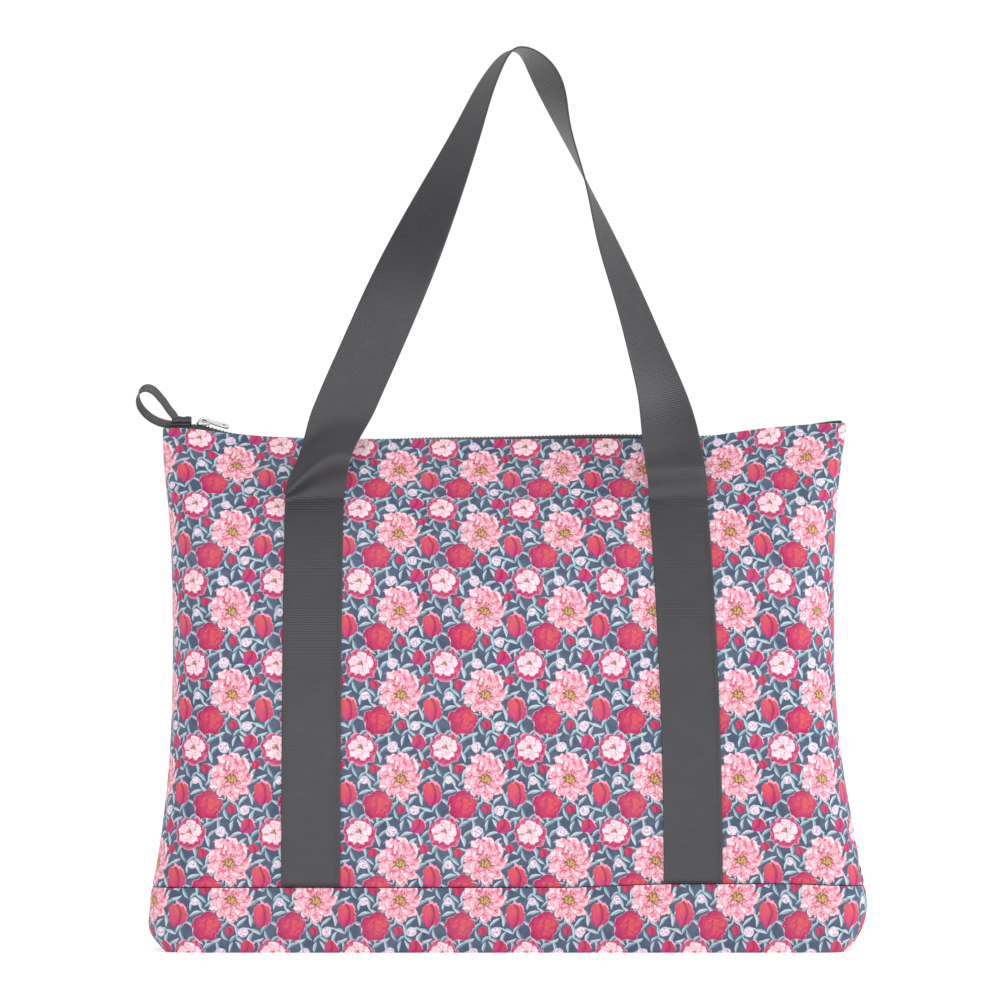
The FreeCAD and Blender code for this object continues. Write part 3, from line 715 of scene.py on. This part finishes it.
def floral(name, phase):
    """The printed cloth. phase is where a large bloom's centre lies in the cloth's flat coordinates."""
    g = Print(name, phase)
    for index, (x, y, angle) in enumerate(LEAVES):
        g.leaf((x, y), angle, 0.074 + 0.008 * (index % 3), 0.2 * (-1) ** index, 0.45 + 0.14 * (index % 4))
    for centre, radius in (((0.17, -0.375), 0.062), ((-0.1, 0.375), 0.066), ((-0.43, -0.015), 0.052)):
        g.ball(centre, radius)
    for centre, radius in (((0.015, -0.36), 0.056), ((0.29, 0.17), 0.06), ((-0.31, 0.12), 0.058)):
        g.bud(centre, radius, 1.0, 0.3, RED, MAGENTA, CORAL)
    g.bud((0.215, 0.44), 0.088, 1.1, -0.35, RED, linear(178, 40, 122), linear(240, 180, 212), 0.1)
    g.bud((0.38, -0.17), 0.116, 1.32, 0.12, ORANGE, linear(190, 42, 108), linear(236, 150, 178), 0.3)
    g.bloom(
        (-0.27, -0.31), 0.182,
        ((1.0, 5, 0.4, 0.16, BLUSH, MAGENTA, WINE, 0.55), (0.88, 4, 1.5, 0.14, WINE, RED, MAGENTA, 0.4),
         (0.66, 3, 0.2, 0.14, CORAL, ORANGE, MAGENTA, 0.45), (0.42, 3, 1.1, 0.1, WINE, ORANGE, RED, 0.7)),
        (0.06, WINE, ORANGE), 3.0, offset=(0.34, 0.12),
    )
    g.bloom(
        (0.53, 0.35), 0.198,
        ((1.0, 7, 0.2, 0.12, BLUSH, ROSE, MAGENTA, 0.45), (0.88, 5, 1.1, 0.1, WINE, ROSE, MAGENTA, 0.25),
         (0.74, 5, 0.5, 0.1, ROSE, WHITE, ROSE, 0.85), (0.52, 4, 1.9, 0.1, CORAL, WHITE, ROSE, 0.8),
         (0.32, 3, 0.9, 0.08, ROSE, WHITE, BLUSH, 0.7)),
        (0.18, linear(120, 76, 62), linear(206, 150, 130)), 11.0, offset=(-0.06, 0.16),
    )
    g.bloom(
        (0, 0), 0.264,
        ((1.0, 9, 0.7, 0.2, CORAL, WHITE, ROSE, 0.6), (0.84, 8, 0.1, 0.18, CORAL, BLUSH, CORAL, 0.55),
         (0.7, 7, 1.3, 0.18, ROSE, WHITE, ROSE, 0.55), (0.54, 6, 0.5, 0.16, CORAL, WHITE, CORAL, 0.5),
         (0.38, 5, 2.1, 0.12, CORAL, BLUSH, MAGENTA, 0.5)),
        (0.29, linear(116, 84, 50), linear(206, 158, 100)), 23.0, cap=0.22,
    )
    flat = g.uv()
    waves = []
    for direction in ("X", "Y"):
        made = g.node("ShaderNodeTexWave", wave_type="BANDS", bands_direction=direction)
        g.feed(made.inputs["Vector"], flat)
        g.feed(made.inputs["Scale"], 1100.0)
        waves.append(made.outputs[1])
    g.bump(g.math("MULTIPLY", *waves), 0.00006, 0.5)
    wear_and_edge_highlight = g.ramp(g.noise(flat, 26.0, 3.0), 0.3, 0.7, 0.0, 0.03)
    colour = g.mix(wear_and_edge_highlight, g.colour, linear(225, 220, 228))
    return g.finish(Base_Color=colour, Roughness=0.72, Specular_IOR_Level=0.3, Sheen_Weight=0.1)


def webbing(name, base, rib, depth, rib_light_and_shade):
    """Ribbed strap: crosswise ribs with painted shade in their grooves and painted light on their crests, a
    fine lengthwise thread, and a painted highlight along both edges that stands for slightly raised
    selvedges.
    """
    g = Shader(name)
    flat = g.uv()
    across, along, _ = g.split(flat)
    wander = g.multiply_add(g.noise(flat, 180.0, 2.0), 0.5, -0.25)
    phase = g.multiply_add(along, 2 * pi / (rib * MM), wander)
    ribs = g.multiply_add(g.math("SINE", phase), 0.5, 0.5)
    thread = g.math("SINE", g.math("MULTIPLY", across, 2 * pi / 0.0009))
    thread = g.multiply_add(thread, 0.5, 0.5)
    height = g.multiply_add(thread, 0.3, ribs)
    blotch = g.ramp(g.noise(flat, 60.0, 3.0), 0.25, 0.75, 0.9, 1.12)
    # The rib wave also tints the colour: painted shade in the grooves and painted light on the crests, times
    # a random blotchy tone.
    tone = g.math("MULTIPLY", g.multiply_add(ribs, rib_light_and_shade, 1 - rib_light_and_shade / 2), blotch)
    # Painted highlight: the colour is lighter along both edges of the strap, where raised selvedges would
    # catch the light.
    wear_and_edge_highlight = g.ramp(g.math("ABSOLUTE", across), 0.0175, 0.0198, 0.0, 0.25)
    shade = g.mix(wear_and_edge_highlight, base, tuple(min(1, 1.7 * c) for c in base[:3]) + (1,))
    colour = g.scaled(shade, tone)
    g.bump(height, depth, 0.6)
    return g.finish(Base_Color=colour, Roughness=0.5, Specular_IOR_Level=0.6, Sheen_Weight=0.02)


def speckled(name, base, light, rough, metal=0.0, scale=900.0, distance=0.00003):
    """Moulded plastic, thread or cast metal: a fine grain, with small changes of tone and of polish."""
    g = Shader(name)
    place = g.objects()
    tone = g.ramp(g.noise(place, scale, 3.0), 0.3, 0.7)
    g.bump(g.noise(place, scale * 1.7, 2.0), distance, 0.5)
    rough = g.ramp(g.noise(place, scale * 0.4, 2.0), 0.3, 0.7, rough * 0.85, rough * 1.15)
    return g.finish(Base_Color=g.mix(tone, base, light), Roughness=rough, Metallic=metal)


BODY_PHASE = (-16.0, 134.5)
BASE_PHASE = (-17.0, 36.4)
WOVEN_TAPE = webbing("zip_tape_weave", linear(38, 38, 42), 0.8, 0.00006, 0.12)
MATERIALS = {
    "printed_fabric": floral("printed_cloth", BODY_PHASE),
    "webbing": webbing("charcoal_webbing", linear(42, 41, 46), 1.6, 0.00016, 0.5),
    "binding": WOVEN_TAPE,
    "zip_tape": WOVEN_TAPE,
    "loop_tape": webbing("narrow_tape", linear(44, 44, 48), 0.9, 0.0001, 0.12),
    "zip_teeth": speckled("moulded_teeth", linear(34, 34, 37), linear(58, 58, 62), 0.35),
    "zip_metal": speckled(
        "polished_zinc", linear(186, 186, 190), linear(212, 212, 216), 0.32, 1.0, 500.0, 0.00001
    ),
    "stitching": speckled("dark_thread", linear(50, 49, 53), linear(72, 71, 76), 0.7),
}


def dress(obj, slot, body, *nodes):
    """Give a piece its slot's material, the body it moves with and the CAD nodes it stands for."""
    obj.data.materials.clear()
    obj.data.materials.append(MATERIALS[slot])
    if body:
        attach(obj, body)
    if nodes:
        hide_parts(*nodes)


def dress_soft(obj, slot, *nodes):
    """Dress a piece of the bag: it moves with the bag's body and gets a mesh of its own."""
    dress(obj, slot, "bag", *nodes)
    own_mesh(obj)


# ---- the shell ----


def make_panels():
    for place, seed, lean in (("front", 0.0, 1), ("back", 31.0, -1)):
        rows, places = panel_rows(seed, lean)
        rows[..., :2] *= lean
        panel = thicken(grid(f"{place}_cloth_panel", rows, places), 0.6)
        dress_soft(panel, "printed_fabric", f"{place}_panel")


def make_base():
    """The base's upstand all round, turned under into its flat bottom."""
    heights = np.concatenate(([45.0, 44.4, 43.2, 41.5, 39], np.linspace(36, 3, 18), [1.2, 0.3, 0]))
    rows, places = [], []
    for z in heights:
        middle, wide, deep, corner = base_at(z)[0]
        half = outline(wide, deep, corner)
        ring = np.concatenate((half, -half))
        along = lengths(half)
        along -= along[len(half) // 2]
        along = np.concatenate((along, along + 12 * TILE))
        normals = np.concatenate((outwards(half), -outwards(half)))
        row = []
        for (x, y), (nx, ny) in zip(ring, normals):
            soft = smooth(0, 8, z) * 0.8 * cloud(x * 0.02, y * 0.02, z * 0.03 + 5)
            out = seam_pull(x + 0.7 * y, z) + soft
            rise = seam_rise(x) * smooth(12, 45, z)
            row.append((x + middle + nx * out, y + ny * out, z + rise))
        rows.append(row)
        places.append([(u, z) for u in along])
    under = len(rows) - 1
    edge = np.array(rows[-1])
    for share in (1.0, 0.985, 0.94, 0.8, 0.55, 0.3, 0.1, 0.02):
        row = edge * (share, share, 1)
        rows.append(row)
        places.append([(x, y) for x, y, _ in row])
    base = weld(grid("base_cloth", rows, places, skip=(under,)))
    base = thicken(base, 0.6)
    dress_soft(base, "printed_fabric", "base_panel")
    base.data.materials[0] = floral("printed_cloth_base", BASE_PHASE)


def make_facings():
    """Plain tape inside the mouth, along the top of both panels."""
    for place, lean in (("front", 1), ("back", -1)):
        rows, places = [], []
        for drop in (21, 14, 8, 3.5):
            z = TOP - drop
            row = []
            for x in np.linspace(-217, 217, 90):
                lift = edge_rise(lean * x) * smooth(262, TOP, z)
                row.append((lean * x, -lean * (face_depth(x, z) - 2.4), z + lift))
            rows.append(row)
            places.append([(z, x) for x, _, _ in row])
        facing = thicken(grid(f"{place}_mouth_facing", rows, places), 0.7)
        dress_soft(facing, "binding", f"{place}_top_facing")


def make_bindings():
    """Tape folded over the raw seam allowances inside: down both sides and round the base."""
    for side, name in ((-1, "left"), (1, "right")):
        middles = []
        for z in np.linspace(57, 342, 60):
            middle, wide = shell_at(z)[0][:2]
            middles.append((middle + side * (wide - 6.5), 0.4 * cloud(0, z * 0.03, side), z))
        tape = band(f"{name}_side_binding", middles, (1, 0, 0), (0, 1, 0), 5, 0.6)
        dress_soft(tape, "binding", f"{name}_seam_binding")
    middle, wide, deep, corner = shell_at(51)[0]
    half = outline(wide - 5, deep - 5, corner - 5)
    ring = np.concatenate((half, -half[1:]))
    normals = np.concatenate((outwards(half), -outwards(half)[1:]))
    middles = [(x + middle, y, 51) for x, y in ring]
    tape = band("base_binding", middles, (0, 0, 1), [(x, y, 0) for x, y in normals], 4, 0.6)
    dress_soft(tape, "binding", "base_seam_binding")


def make_pocket():
    """The flat pocket sewn inside the back panel, with a bound mouth."""
    rows, places = [], []
    for z in np.linspace(180, 316, 30):
        bag = 2.2 * smooth(180, 210, z) * (1 - 0.4 * smooth(290, 316, z))
        row = []
        for x in np.linspace(-75, 75, 40):
            gap = 3.2 + bag * (1 - (x / 75) ** 4)
            row.append((-x, face_depth(x, z, 31.0, -1) - gap, z))
        rows.append(row)
        places.append([(x, z) for x, _, _ in row])
    pocket = thicken(grid("stow_pocket_cloth", rows, places), 0.6)
    dress_soft(pocket, "printed_fabric", "stow_pocket")
    middles = [(x, y - 2.6, z + 3) for x, y, z in rows[-1]]
    tape = band("stow_pocket_edge", middles, (0, -0.42, 0.91), (0, 0.91, 0.42), 5, 0.9)
    dress_soft(tape, "binding", "stow_pocket_binding")


# ---- webbing ----


def strap_frame(side, z, stand_off):
    """Middle, run, across and outward directions of a strap sewn to the front at a height."""

    def at(height):
        x = strap_middle(side, height)
        lift = seam_rise(x) * (1 - smooth(46, 110, height))
        return np.array((x, -face_depth(x, height) - stand_off, height + lift))

    run = unit(at(min(z + 1, STITCH_LINE)) - at(max(z - 1, BASE_SEAM + 0.3)))
    across = np.array((1.0, 0, 0))
    out = unit(np.cross(across, run))
    return at(z), run, across, -np.sign(out[1]) * out


def make_straps():
    for side in ("left", "right"):
        frames = [strap_frame(side, z, 0.95) for z in np.linspace(BASE_SEAM + 0.8, STITCH_LINE + 0.6, 96)]
        middles, _, acrosses, outs = (np.array(f) for f in zip(*frames))
        for place, flip in (("front", 1), ("back", -1)):
            mirror = (1, flip, 1)
            lines = (middles * mirror, acrosses * mirror, -outs * mirror)
            strap = band(f"{place}_{side}_sewn_webbing", *lines, WEBBING_HALF, WEBBING_THICK / 2)
            dress_soft(strap, "webbing", f"{place}_strap_{side}")


def handle_frames(side, count=190):
    """Stations of the raised handle on the front (side -1) or the back (side 1).

    Each foot starts inside the top of its sewn strap and comes out through the strap's face."""
    feet = {leg: [strap_frame(leg, z, stand_off)[0] for z, stand_off in FOOT] for leg in ("left", "right")}
    points = np.concatenate((feet["left"], HANDLE_ROUTE[:, :3] * (1, -1, 1), feet["right"][::-1]))
    points *= (1, -side, 1)
    twists = np.concatenate(([0] * len(FOOT), HANDLE_ROUTE[:, 3], [0] * len(FOOT)))
    knots = lengths(points)
    start = np.array((0.0, -0.37 * side, 0.93))
    along = spline(knots, points, (start, start * (1, -1, -1)))
    turn = spline(knots, twists, ((0,), (0,)))
    at = np.linspace(0, knots[-1], count)
    middles = along(at)
    acrosses, throughs = [], []
    for run, twist in zip(directions(middles), np.radians(turn(at)[:, 0])):
        outward = -unit(np.cross(run, (0, -1, 0)))
        face = np.array((0, side, 0)) * cos(twist) + outward * sin(twist)
        acrosses.append(unit(np.cross(face, run)))
        throughs.append(np.cross(acrosses[-1], run))
    return middles, acrosses, throughs


def soften_feet(points, side):
    """Let the raised webbing buckle where it comes free: a curved fold at one foot, a roll at the other.

    The folds stand out from the bag, and the curved one draws the webbing's edges together a little."""
    x, y, z = points.T
    left = x < 0
    crest = 345.5 - 21 * ((x + 113) / 36) ** 2
    above = z - crest
    below = np.clip((crest - 317) * 0.48, 3, 12)
    fold = np.where(above > 0, bump(above, 0, 16), bump(above, 0, below))
    roll = bump(z, 336 + (x - 120) * 0.1, 10) + 0.4 * bump(z, 367, 13)
    free = smooth(316.5, 321, z)
    out = free * np.where(left, 13.5 * fold, 5.5 * roll)
    drawn = np.where(left, smooth(322, 346, z) * (1 - smooth(348, 380, z)), 0)
    middle = np.interp(z, (316, 339, 360, 388), (-135.5, -131.3, -124.3, -111))
    return np.stack((x - drawn * 0.15 * (x - middle), y + side * out, z), 1)


def turn_about_hinge(points, side, angles):
    """Turn points about a handle's hinge line, each by its own angle."""
    pivot = np.array((0, side * HINGE[1], HINGE[2]))
    x, y, z = (points - pivot).T
    c, s = np.cos(angles), np.sin(angles)
    return np.stack((x, y * c - z * s, y * s + z * c), 1) + pivot


def make_handles():
    """The front handle stands up. The back one has dropped over its stitching and hangs down."""
    for place, side, swing in (("front", -1, 0), ("back", 1, -SWING)):
        handle = band(f"{place}_handle_webbing", *handle_frames(side), WEBBING_HALF, WEBBING_THICK / 2)
        add_modifier(handle, "SUBSURF", levels=1, render_levels=1)
        freeze(handle)
        points = np.array([v.co for v in handle.data.vertices]) / MM
        if not swing:
            points = soften_feet(points, side)
        height = np.clip(points[:, 2] - HINGE[2], 0, None)
        points = turn_about_hinge(points, side, radians(swing) * smooth(0, BEND[place], height))
        handle.data.vertices.foreach_set("co", (points * MM).astype(np.float32).ravel())
        handle.data.update()
        dress(handle, "webbing", None, f"{place}_handle")
        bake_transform(handle)


# ---- stitching ----


def stitches(name, places, radius, half_length):
    """Short raised stitches, one for each (middle, run, outward direction)."""
    ring = [(cos(a), sin(a)) for a in np.linspace(0, 2 * pi, 6, endpoint=False)]
    points, faces = [], []
    for middle, run, out in places:
        side = np.cross(run, out)
        first = len(points)
        for t, size in ((-1, 0.35), (-0.7, 0.9), (0, 1.0), (0.7, 0.9), (1, 0.35)):
            points += [middle + run * t * half_length + (side * c + out * s) * radius * size for c, s in ring]
        faces += ring_faces(first, 5, 6)
    return make_object(name, points, faces)


def mirrored(places, flip):
    mirror = np.array((1, flip, 1))
    return [(middle * mirror, run * mirror, out * mirror) for middle, run, out in places]


def make_edge_stitching():
    """A line of stitches down each edge of the sewn straps."""
    places = []
    for side in ("left", "right"):
        for z in np.arange(BASE_SEAM + 2.5, STITCH_LINE - 5, 3.3):
            here, run, across, out = strap_frame(side, z, 0.95)
            for edge in (-1, 1):
                inset = across * edge * (WEBBING_HALF - 2.8)
                places.append((here + inset + out * (WEBBING_THICK / 2), run, out))
    for place, flip in (("front", 1), ("back", -1)):
        lines = stitches(f"{place}_edge_stitching", mirrored(places, flip), 0.22, 1.1)
        dress_soft(lines, "stitching")


def make_bar_tacks():
    """Two close rows of stitches across each leg, where its webbing comes free of the panel."""
    places = []
    for side in ("left", "right"):
        for row, z in enumerate((STITCH_LINE - 0.9, STITCH_LINE - 3.4)):
            here, _, across, out = strap_frame(side, z, 0.95)
            for step in np.arange(-17.5, 17.6, 2.5):
                middle = here + across * (step + row * 1.2) + out * (WEBBING_THICK / 2 + 0.2)
                places.append((middle, across, out))
    for place, flip in (("front", 1), ("back", -1)):
        rows = stitches(f"{place}_tack_stitches", mirrored(places, flip), 0.28, 1.05)
        dress(rows, "stitching", f"{place}_anchor", f"{place}_bar_tacks")


# ---- zip ----


def edge_height(x):
    return TOP + edge_rise(x)


def chain_height(x):
    return edge_height(x) + chain_lift(x)[0, 0]


def make_tapes():
    """Woven tape from inside each panel's top edge up to the chain."""
    for place, side in (("front", -1), ("back", 1)):
        rows, places = [], []
        for x in np.linspace(-236.5, 234.5, 160):
            edge, chain = edge_height(x), chain_height(x)
            shoulder = max(edge + 0.4, (edge + chain) / 2)
            section = [(6.4, edge - 9), (6.2, edge - 3), (5.6, edge + 0.3), (4.6, shoulder)]
            section += [(3.4, chain + 0.7), (1.4, chain + 0.9)]
            rows.append([(x, side * y, z) for y, z in section])
            places.append([(y, x) for y, _ in section])
        tape = thicken(grid(f"zip_tape_{place}", rows, places), 0.5, 0.0)
        dress_soft(tape, "zip_tape", f"zipper_tape_{place}")


def make_teeth():
    """Two meshed rows of moulded teeth that follow the sag of the top edge."""
    pitch = 2.55
    for place, side, shift in (("front", -1, 0.0), ("back", 1, 0.5)):
        items = []
        for x in np.arange(-212.6 + shift * pitch, 219, pitch):
            z = chain_height(x)
            slope = (chain_height(x + 1) - chain_height(x - 1)) / 2
            items.append(((x, side * 1.35, z - 0.3 * side), (0.75, 1.9, 1.25), slope))
            items.append(((x, side * 2.7, z), (1.2, 0.45, 0.8), slope))
        teeth = blocks(f"zip_teeth_{place}", items)
        dress_soft(teeth, "zip_teeth", f"zipper_teeth_{place}")


def make_stops():
    z = chain_height(-220)
    top = blocks("zip_top_stops", [((-220.1, side * 2.2, z), (0.9, 0.9, 1.3), 0) for side in (-1, 1)])
    dress(top, "zip_teeth", "bag", "zipper_top_stops")
    bottom = blocks("zip_bottom_stop", [((221.4, 0, chain_height(221)), (1.7, 3.0, 1.3), 0.05)])
    dress(bottom, "zip_teeth", "bag", "zipper_bottom_stop")


def wedge(nose, heel, half_nose, half_heel, steps=8):
    """Outline of a slider plate that narrows from its nose to its heel, with rounded shoulders."""
    edge = []
    for t in np.linspace(0, 1, steps):
        x = nose + (heel - nose) * t
        round_off = min(1.0, sqrt(max(0.0, 1 - max(0.0, (0.3 - t) / 0.3) ** 2)) + 0.35)
        edge.append((x, (half_nose + (half_heel - half_nose) * t) * round_off))
    return edge + [(x, -y) for x, y in edge[::-1]]


def make_slider():
    """The slider's two plates, the post between them and the arch that holds its puller."""
    x, z = -213.5, chain_height(-213.5)
    shape = wedge(x - 5.2, x + 4.4, 4.4, 3.1)
    top = plate("slider_top", shape, z + 1.3, z + 3.9, 0.9)
    foot = plate("slider_foot", shape, z - 2.7, z - 1.4, 0.4)
    wedge_post = [(x - 5, -0.8), (x - 2.6, -0.5), (x - 2.6, 0.5), (x - 5, 0.8)]
    post = plate("slider_post", wedge_post, z - 2, z + 2, 0.15)
    arch = [(x - 3.8 + 7 * t, 0, z + 3.4 + 3.0 * sin(pi * t) ** 0.6) for t in np.linspace(0, 1, 17)]
    throughs = [(-rz, 0, rx) for rx, _, rz in directions(arch)]
    bridge = band("slider_arch", arch, (0, 1, 0), throughs, 1.8, 0.8)
    body = merge("zip_slider", top, foot, post, bridge)
    dress(body, "zip_metal", "slider", "slider_body")
    pivot = (x + 1.5, 0, z + 4.6)
    tip = [(x + 16.6 + 1.7 * sin(a), 2.6 * cos(a)) for a in np.linspace(0, pi, 9)]
    edge = [(x - 1.4, -1.5), (x - 0.6, -2.3), (x + 3.4, -2.3), (x + 5.4, -1.6), (x + 9.0, -2.3)]
    edge += tip[::-1] + [(a, -b) for a, b in edge[::-1]]
    puller = plate("zip_puller", edge, pivot[2] - 0.65, pivot[2] + 0.65, 0.3, ((x + 14.6, 0), 1.0))
    turned(puller, pivot, 34, "X")
    turned(puller, pivot, 15, "Y")
    dress(puller, "zip_metal", "puller", "slider_puller")


def make_end_tabs():
    """Tape folded over each end of the zip."""
    for place, side, inner, outer in (("left", -1, -223, -238), ("right", 1, 213, 233)):
        reach = np.linspace(inner, outer, 10)
        middles = [(x, 0, chain_height(x) + 0.6) for x in reach]
        throughs = [(0, 0, 1)] * len(reach)
        turn_height = chain_height(outer) - 0.4
        for angle in np.radians(np.linspace(60, -60, 5)):
            middles.append((outer + side * 0.9 * cos(angle), 0, turn_height + sin(angle)))
            throughs.append((side * cos(angle), 0, sin(angle)))
        middles += [(x, 0, chain_height(x) - 1.4) for x in reach[::-1]]
        throughs += [(0, 0, -1)] * len(reach)
        tab = band(f"{place}_zip_end_tab", middles, (0, -side, 0), throughs, 6.3, 0.95)
        dress_soft(tab, "loop_tape", f"{place}_end_tab")


# The pull loop's tape, from the top of the stitched block up, over and back to the bag's corner: x, z.
LOOP_ROUTE = (
    (-232.5, 371), (-234.4, 374.4), (-237.4, 378.2), (-241.2, 383.6), (-245.4, 388.8),
    (-249.4, 392.6), (-253.4, 394), (-257.4, 392.4), (-259.6, 388), (-259, 382.8),
    (-255.8, 377.6), (-250.8, 373.2), (-245, 370.2), (-239, 368.6), (-232, 368.2),
)


def make_pull_loop():
    """A narrow tape folded into a loop, with both ends caught in the block at the end of the zip."""
    route = np.array(LOOP_ROUTE)
    knots = lengths(route)
    line = spline(knots, route)(np.linspace(0, knots[-1], 90))
    tilt = radians(30)
    middles, acrosses, throughs = [], [], []
    for (x, z), (rx, rz) in zip(line, directions(line)):
        run = np.array((rx, 0, rz))
        across = np.array((0, cos(tilt), 0)) + sin(tilt) * np.array((0.3, 0, 0.95))
        middles.append((x, 0, z))
        acrosses.append(unit(across - across.dot(run) * run))
        throughs.append(np.cross(acrosses[-1], run))
    loop = band("zip_pull_loop", middles, acrosses, throughs, 5.5, 0.5)
    dress(loop, "loop_tape", None, "pull_loop")
    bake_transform(loop)
    block = [(x, 0, 371.4 + 0.25 * sin(x)) for x in np.linspace(-236, -222.3, 16)]
    root = band("zip_pull_loop_root", block, (0, 1, 0), (0, 0, 1), 5.6, 2.7)
    dress(root, "loop_tape", "bag", "pull_loop_base")


# ---- floor, lights and camera ----


def make_stage():
    size = 12000
    corners = [(-size, -size, -0.3), (size, -size, -0.3), (size, size, -0.3), (-size, size, -0.3)]
    floor = make_object("floor", corners, [[0, 1, 2, 3]])
    g = Shader("studio_floor")
    tone = g.ramp(g.noise(g.objects(), 1.5, 2.0), 0.3, 0.7)
    paper = g.mix(tone, (0.98, 0.98, 0.98, 1), (0.97, 0.97, 0.97, 1))
    glow = {"Emission_Color": (1, 1, 1, 1), "Emission_Strength": 0.4}
    floor.data.materials.append(g.finish(Base_Color=paper, Roughness=0.9, **glow))
    make_world()


def make_world():
    """A white studio. It lights the bag less from the front and below than from overhead."""
    world = bpy.data.worlds.new("studio")
    world.use_nodes = True
    g = Nodes(world.node_tree)
    background = g.tree.nodes["Background"]
    background.inputs[0].default_value = (1, 1, 1, 1)
    _, depth, height = g.split(g.node("ShaderNodeTexCoord").outputs["Generated"])
    around = g.ramp(depth, -0.7, 0.2, 0.3, 0.7)
    dome = g.ramp(height, 0.6, 0.95, around, 1.3)
    seen = g.node("ShaderNodeLightPath").outputs["Is Camera Ray"]
    g.feed(background.inputs[1], g.ramp(seen, 0.0, 1.0, dome, 1.04))
    bpy.context.scene.world = world


def add_light(name, place, target, size, power):
    data = bpy.data.lights.new(name, "AREA")
    data.shape = "RECTANGLE"
    data.size, data.size_y = size
    data.energy = power
    light = put(name, data)
    light.location = place
    light.rotation_euler = (Vector(target) - Vector(place)).to_track_quat("-Z", "Y").to_euler()


def make_lights():
    add_light("key", (-0.5, -3.3, 0.8), (0, 0, 0.25), (1.5, 1.5), 38)
    add_light("fill", (3.0, -1.0, 0.9), (0, 0, 0.25), (1.6, 1.6), 44)
    add_light("rim", (0.3, 1.8, 1.9), (0, 0, 0.3), (1.5, 1.2), 8)


def make_camera():
    data = bpy.data.cameras.new("camera")
    distance = 9.0
    view_width = 0.700
    data.sensor_width = 36
    data.lens = data.sensor_width * (distance - 0.03) / view_width
    data.clip_start, data.clip_end = 0.1, 80
    camera = put("camera", data)
    camera.location = (-0.0056, -distance, 0.3154)
    camera.rotation_euler = (pi / 2, 0, 0)
    bpy.context.scene.camera = camera
    bpy.context.scene.view_settings.view_transform = "Standard"


for make in (
    make_panels, make_base, make_facings, make_bindings, make_pocket, make_straps, make_handles,
    make_edge_stitching, make_bar_tacks, make_tapes, make_teeth, make_stops, make_slider, make_end_tabs,
    make_pull_loop, make_stage, make_lights, make_camera,
):
    make()
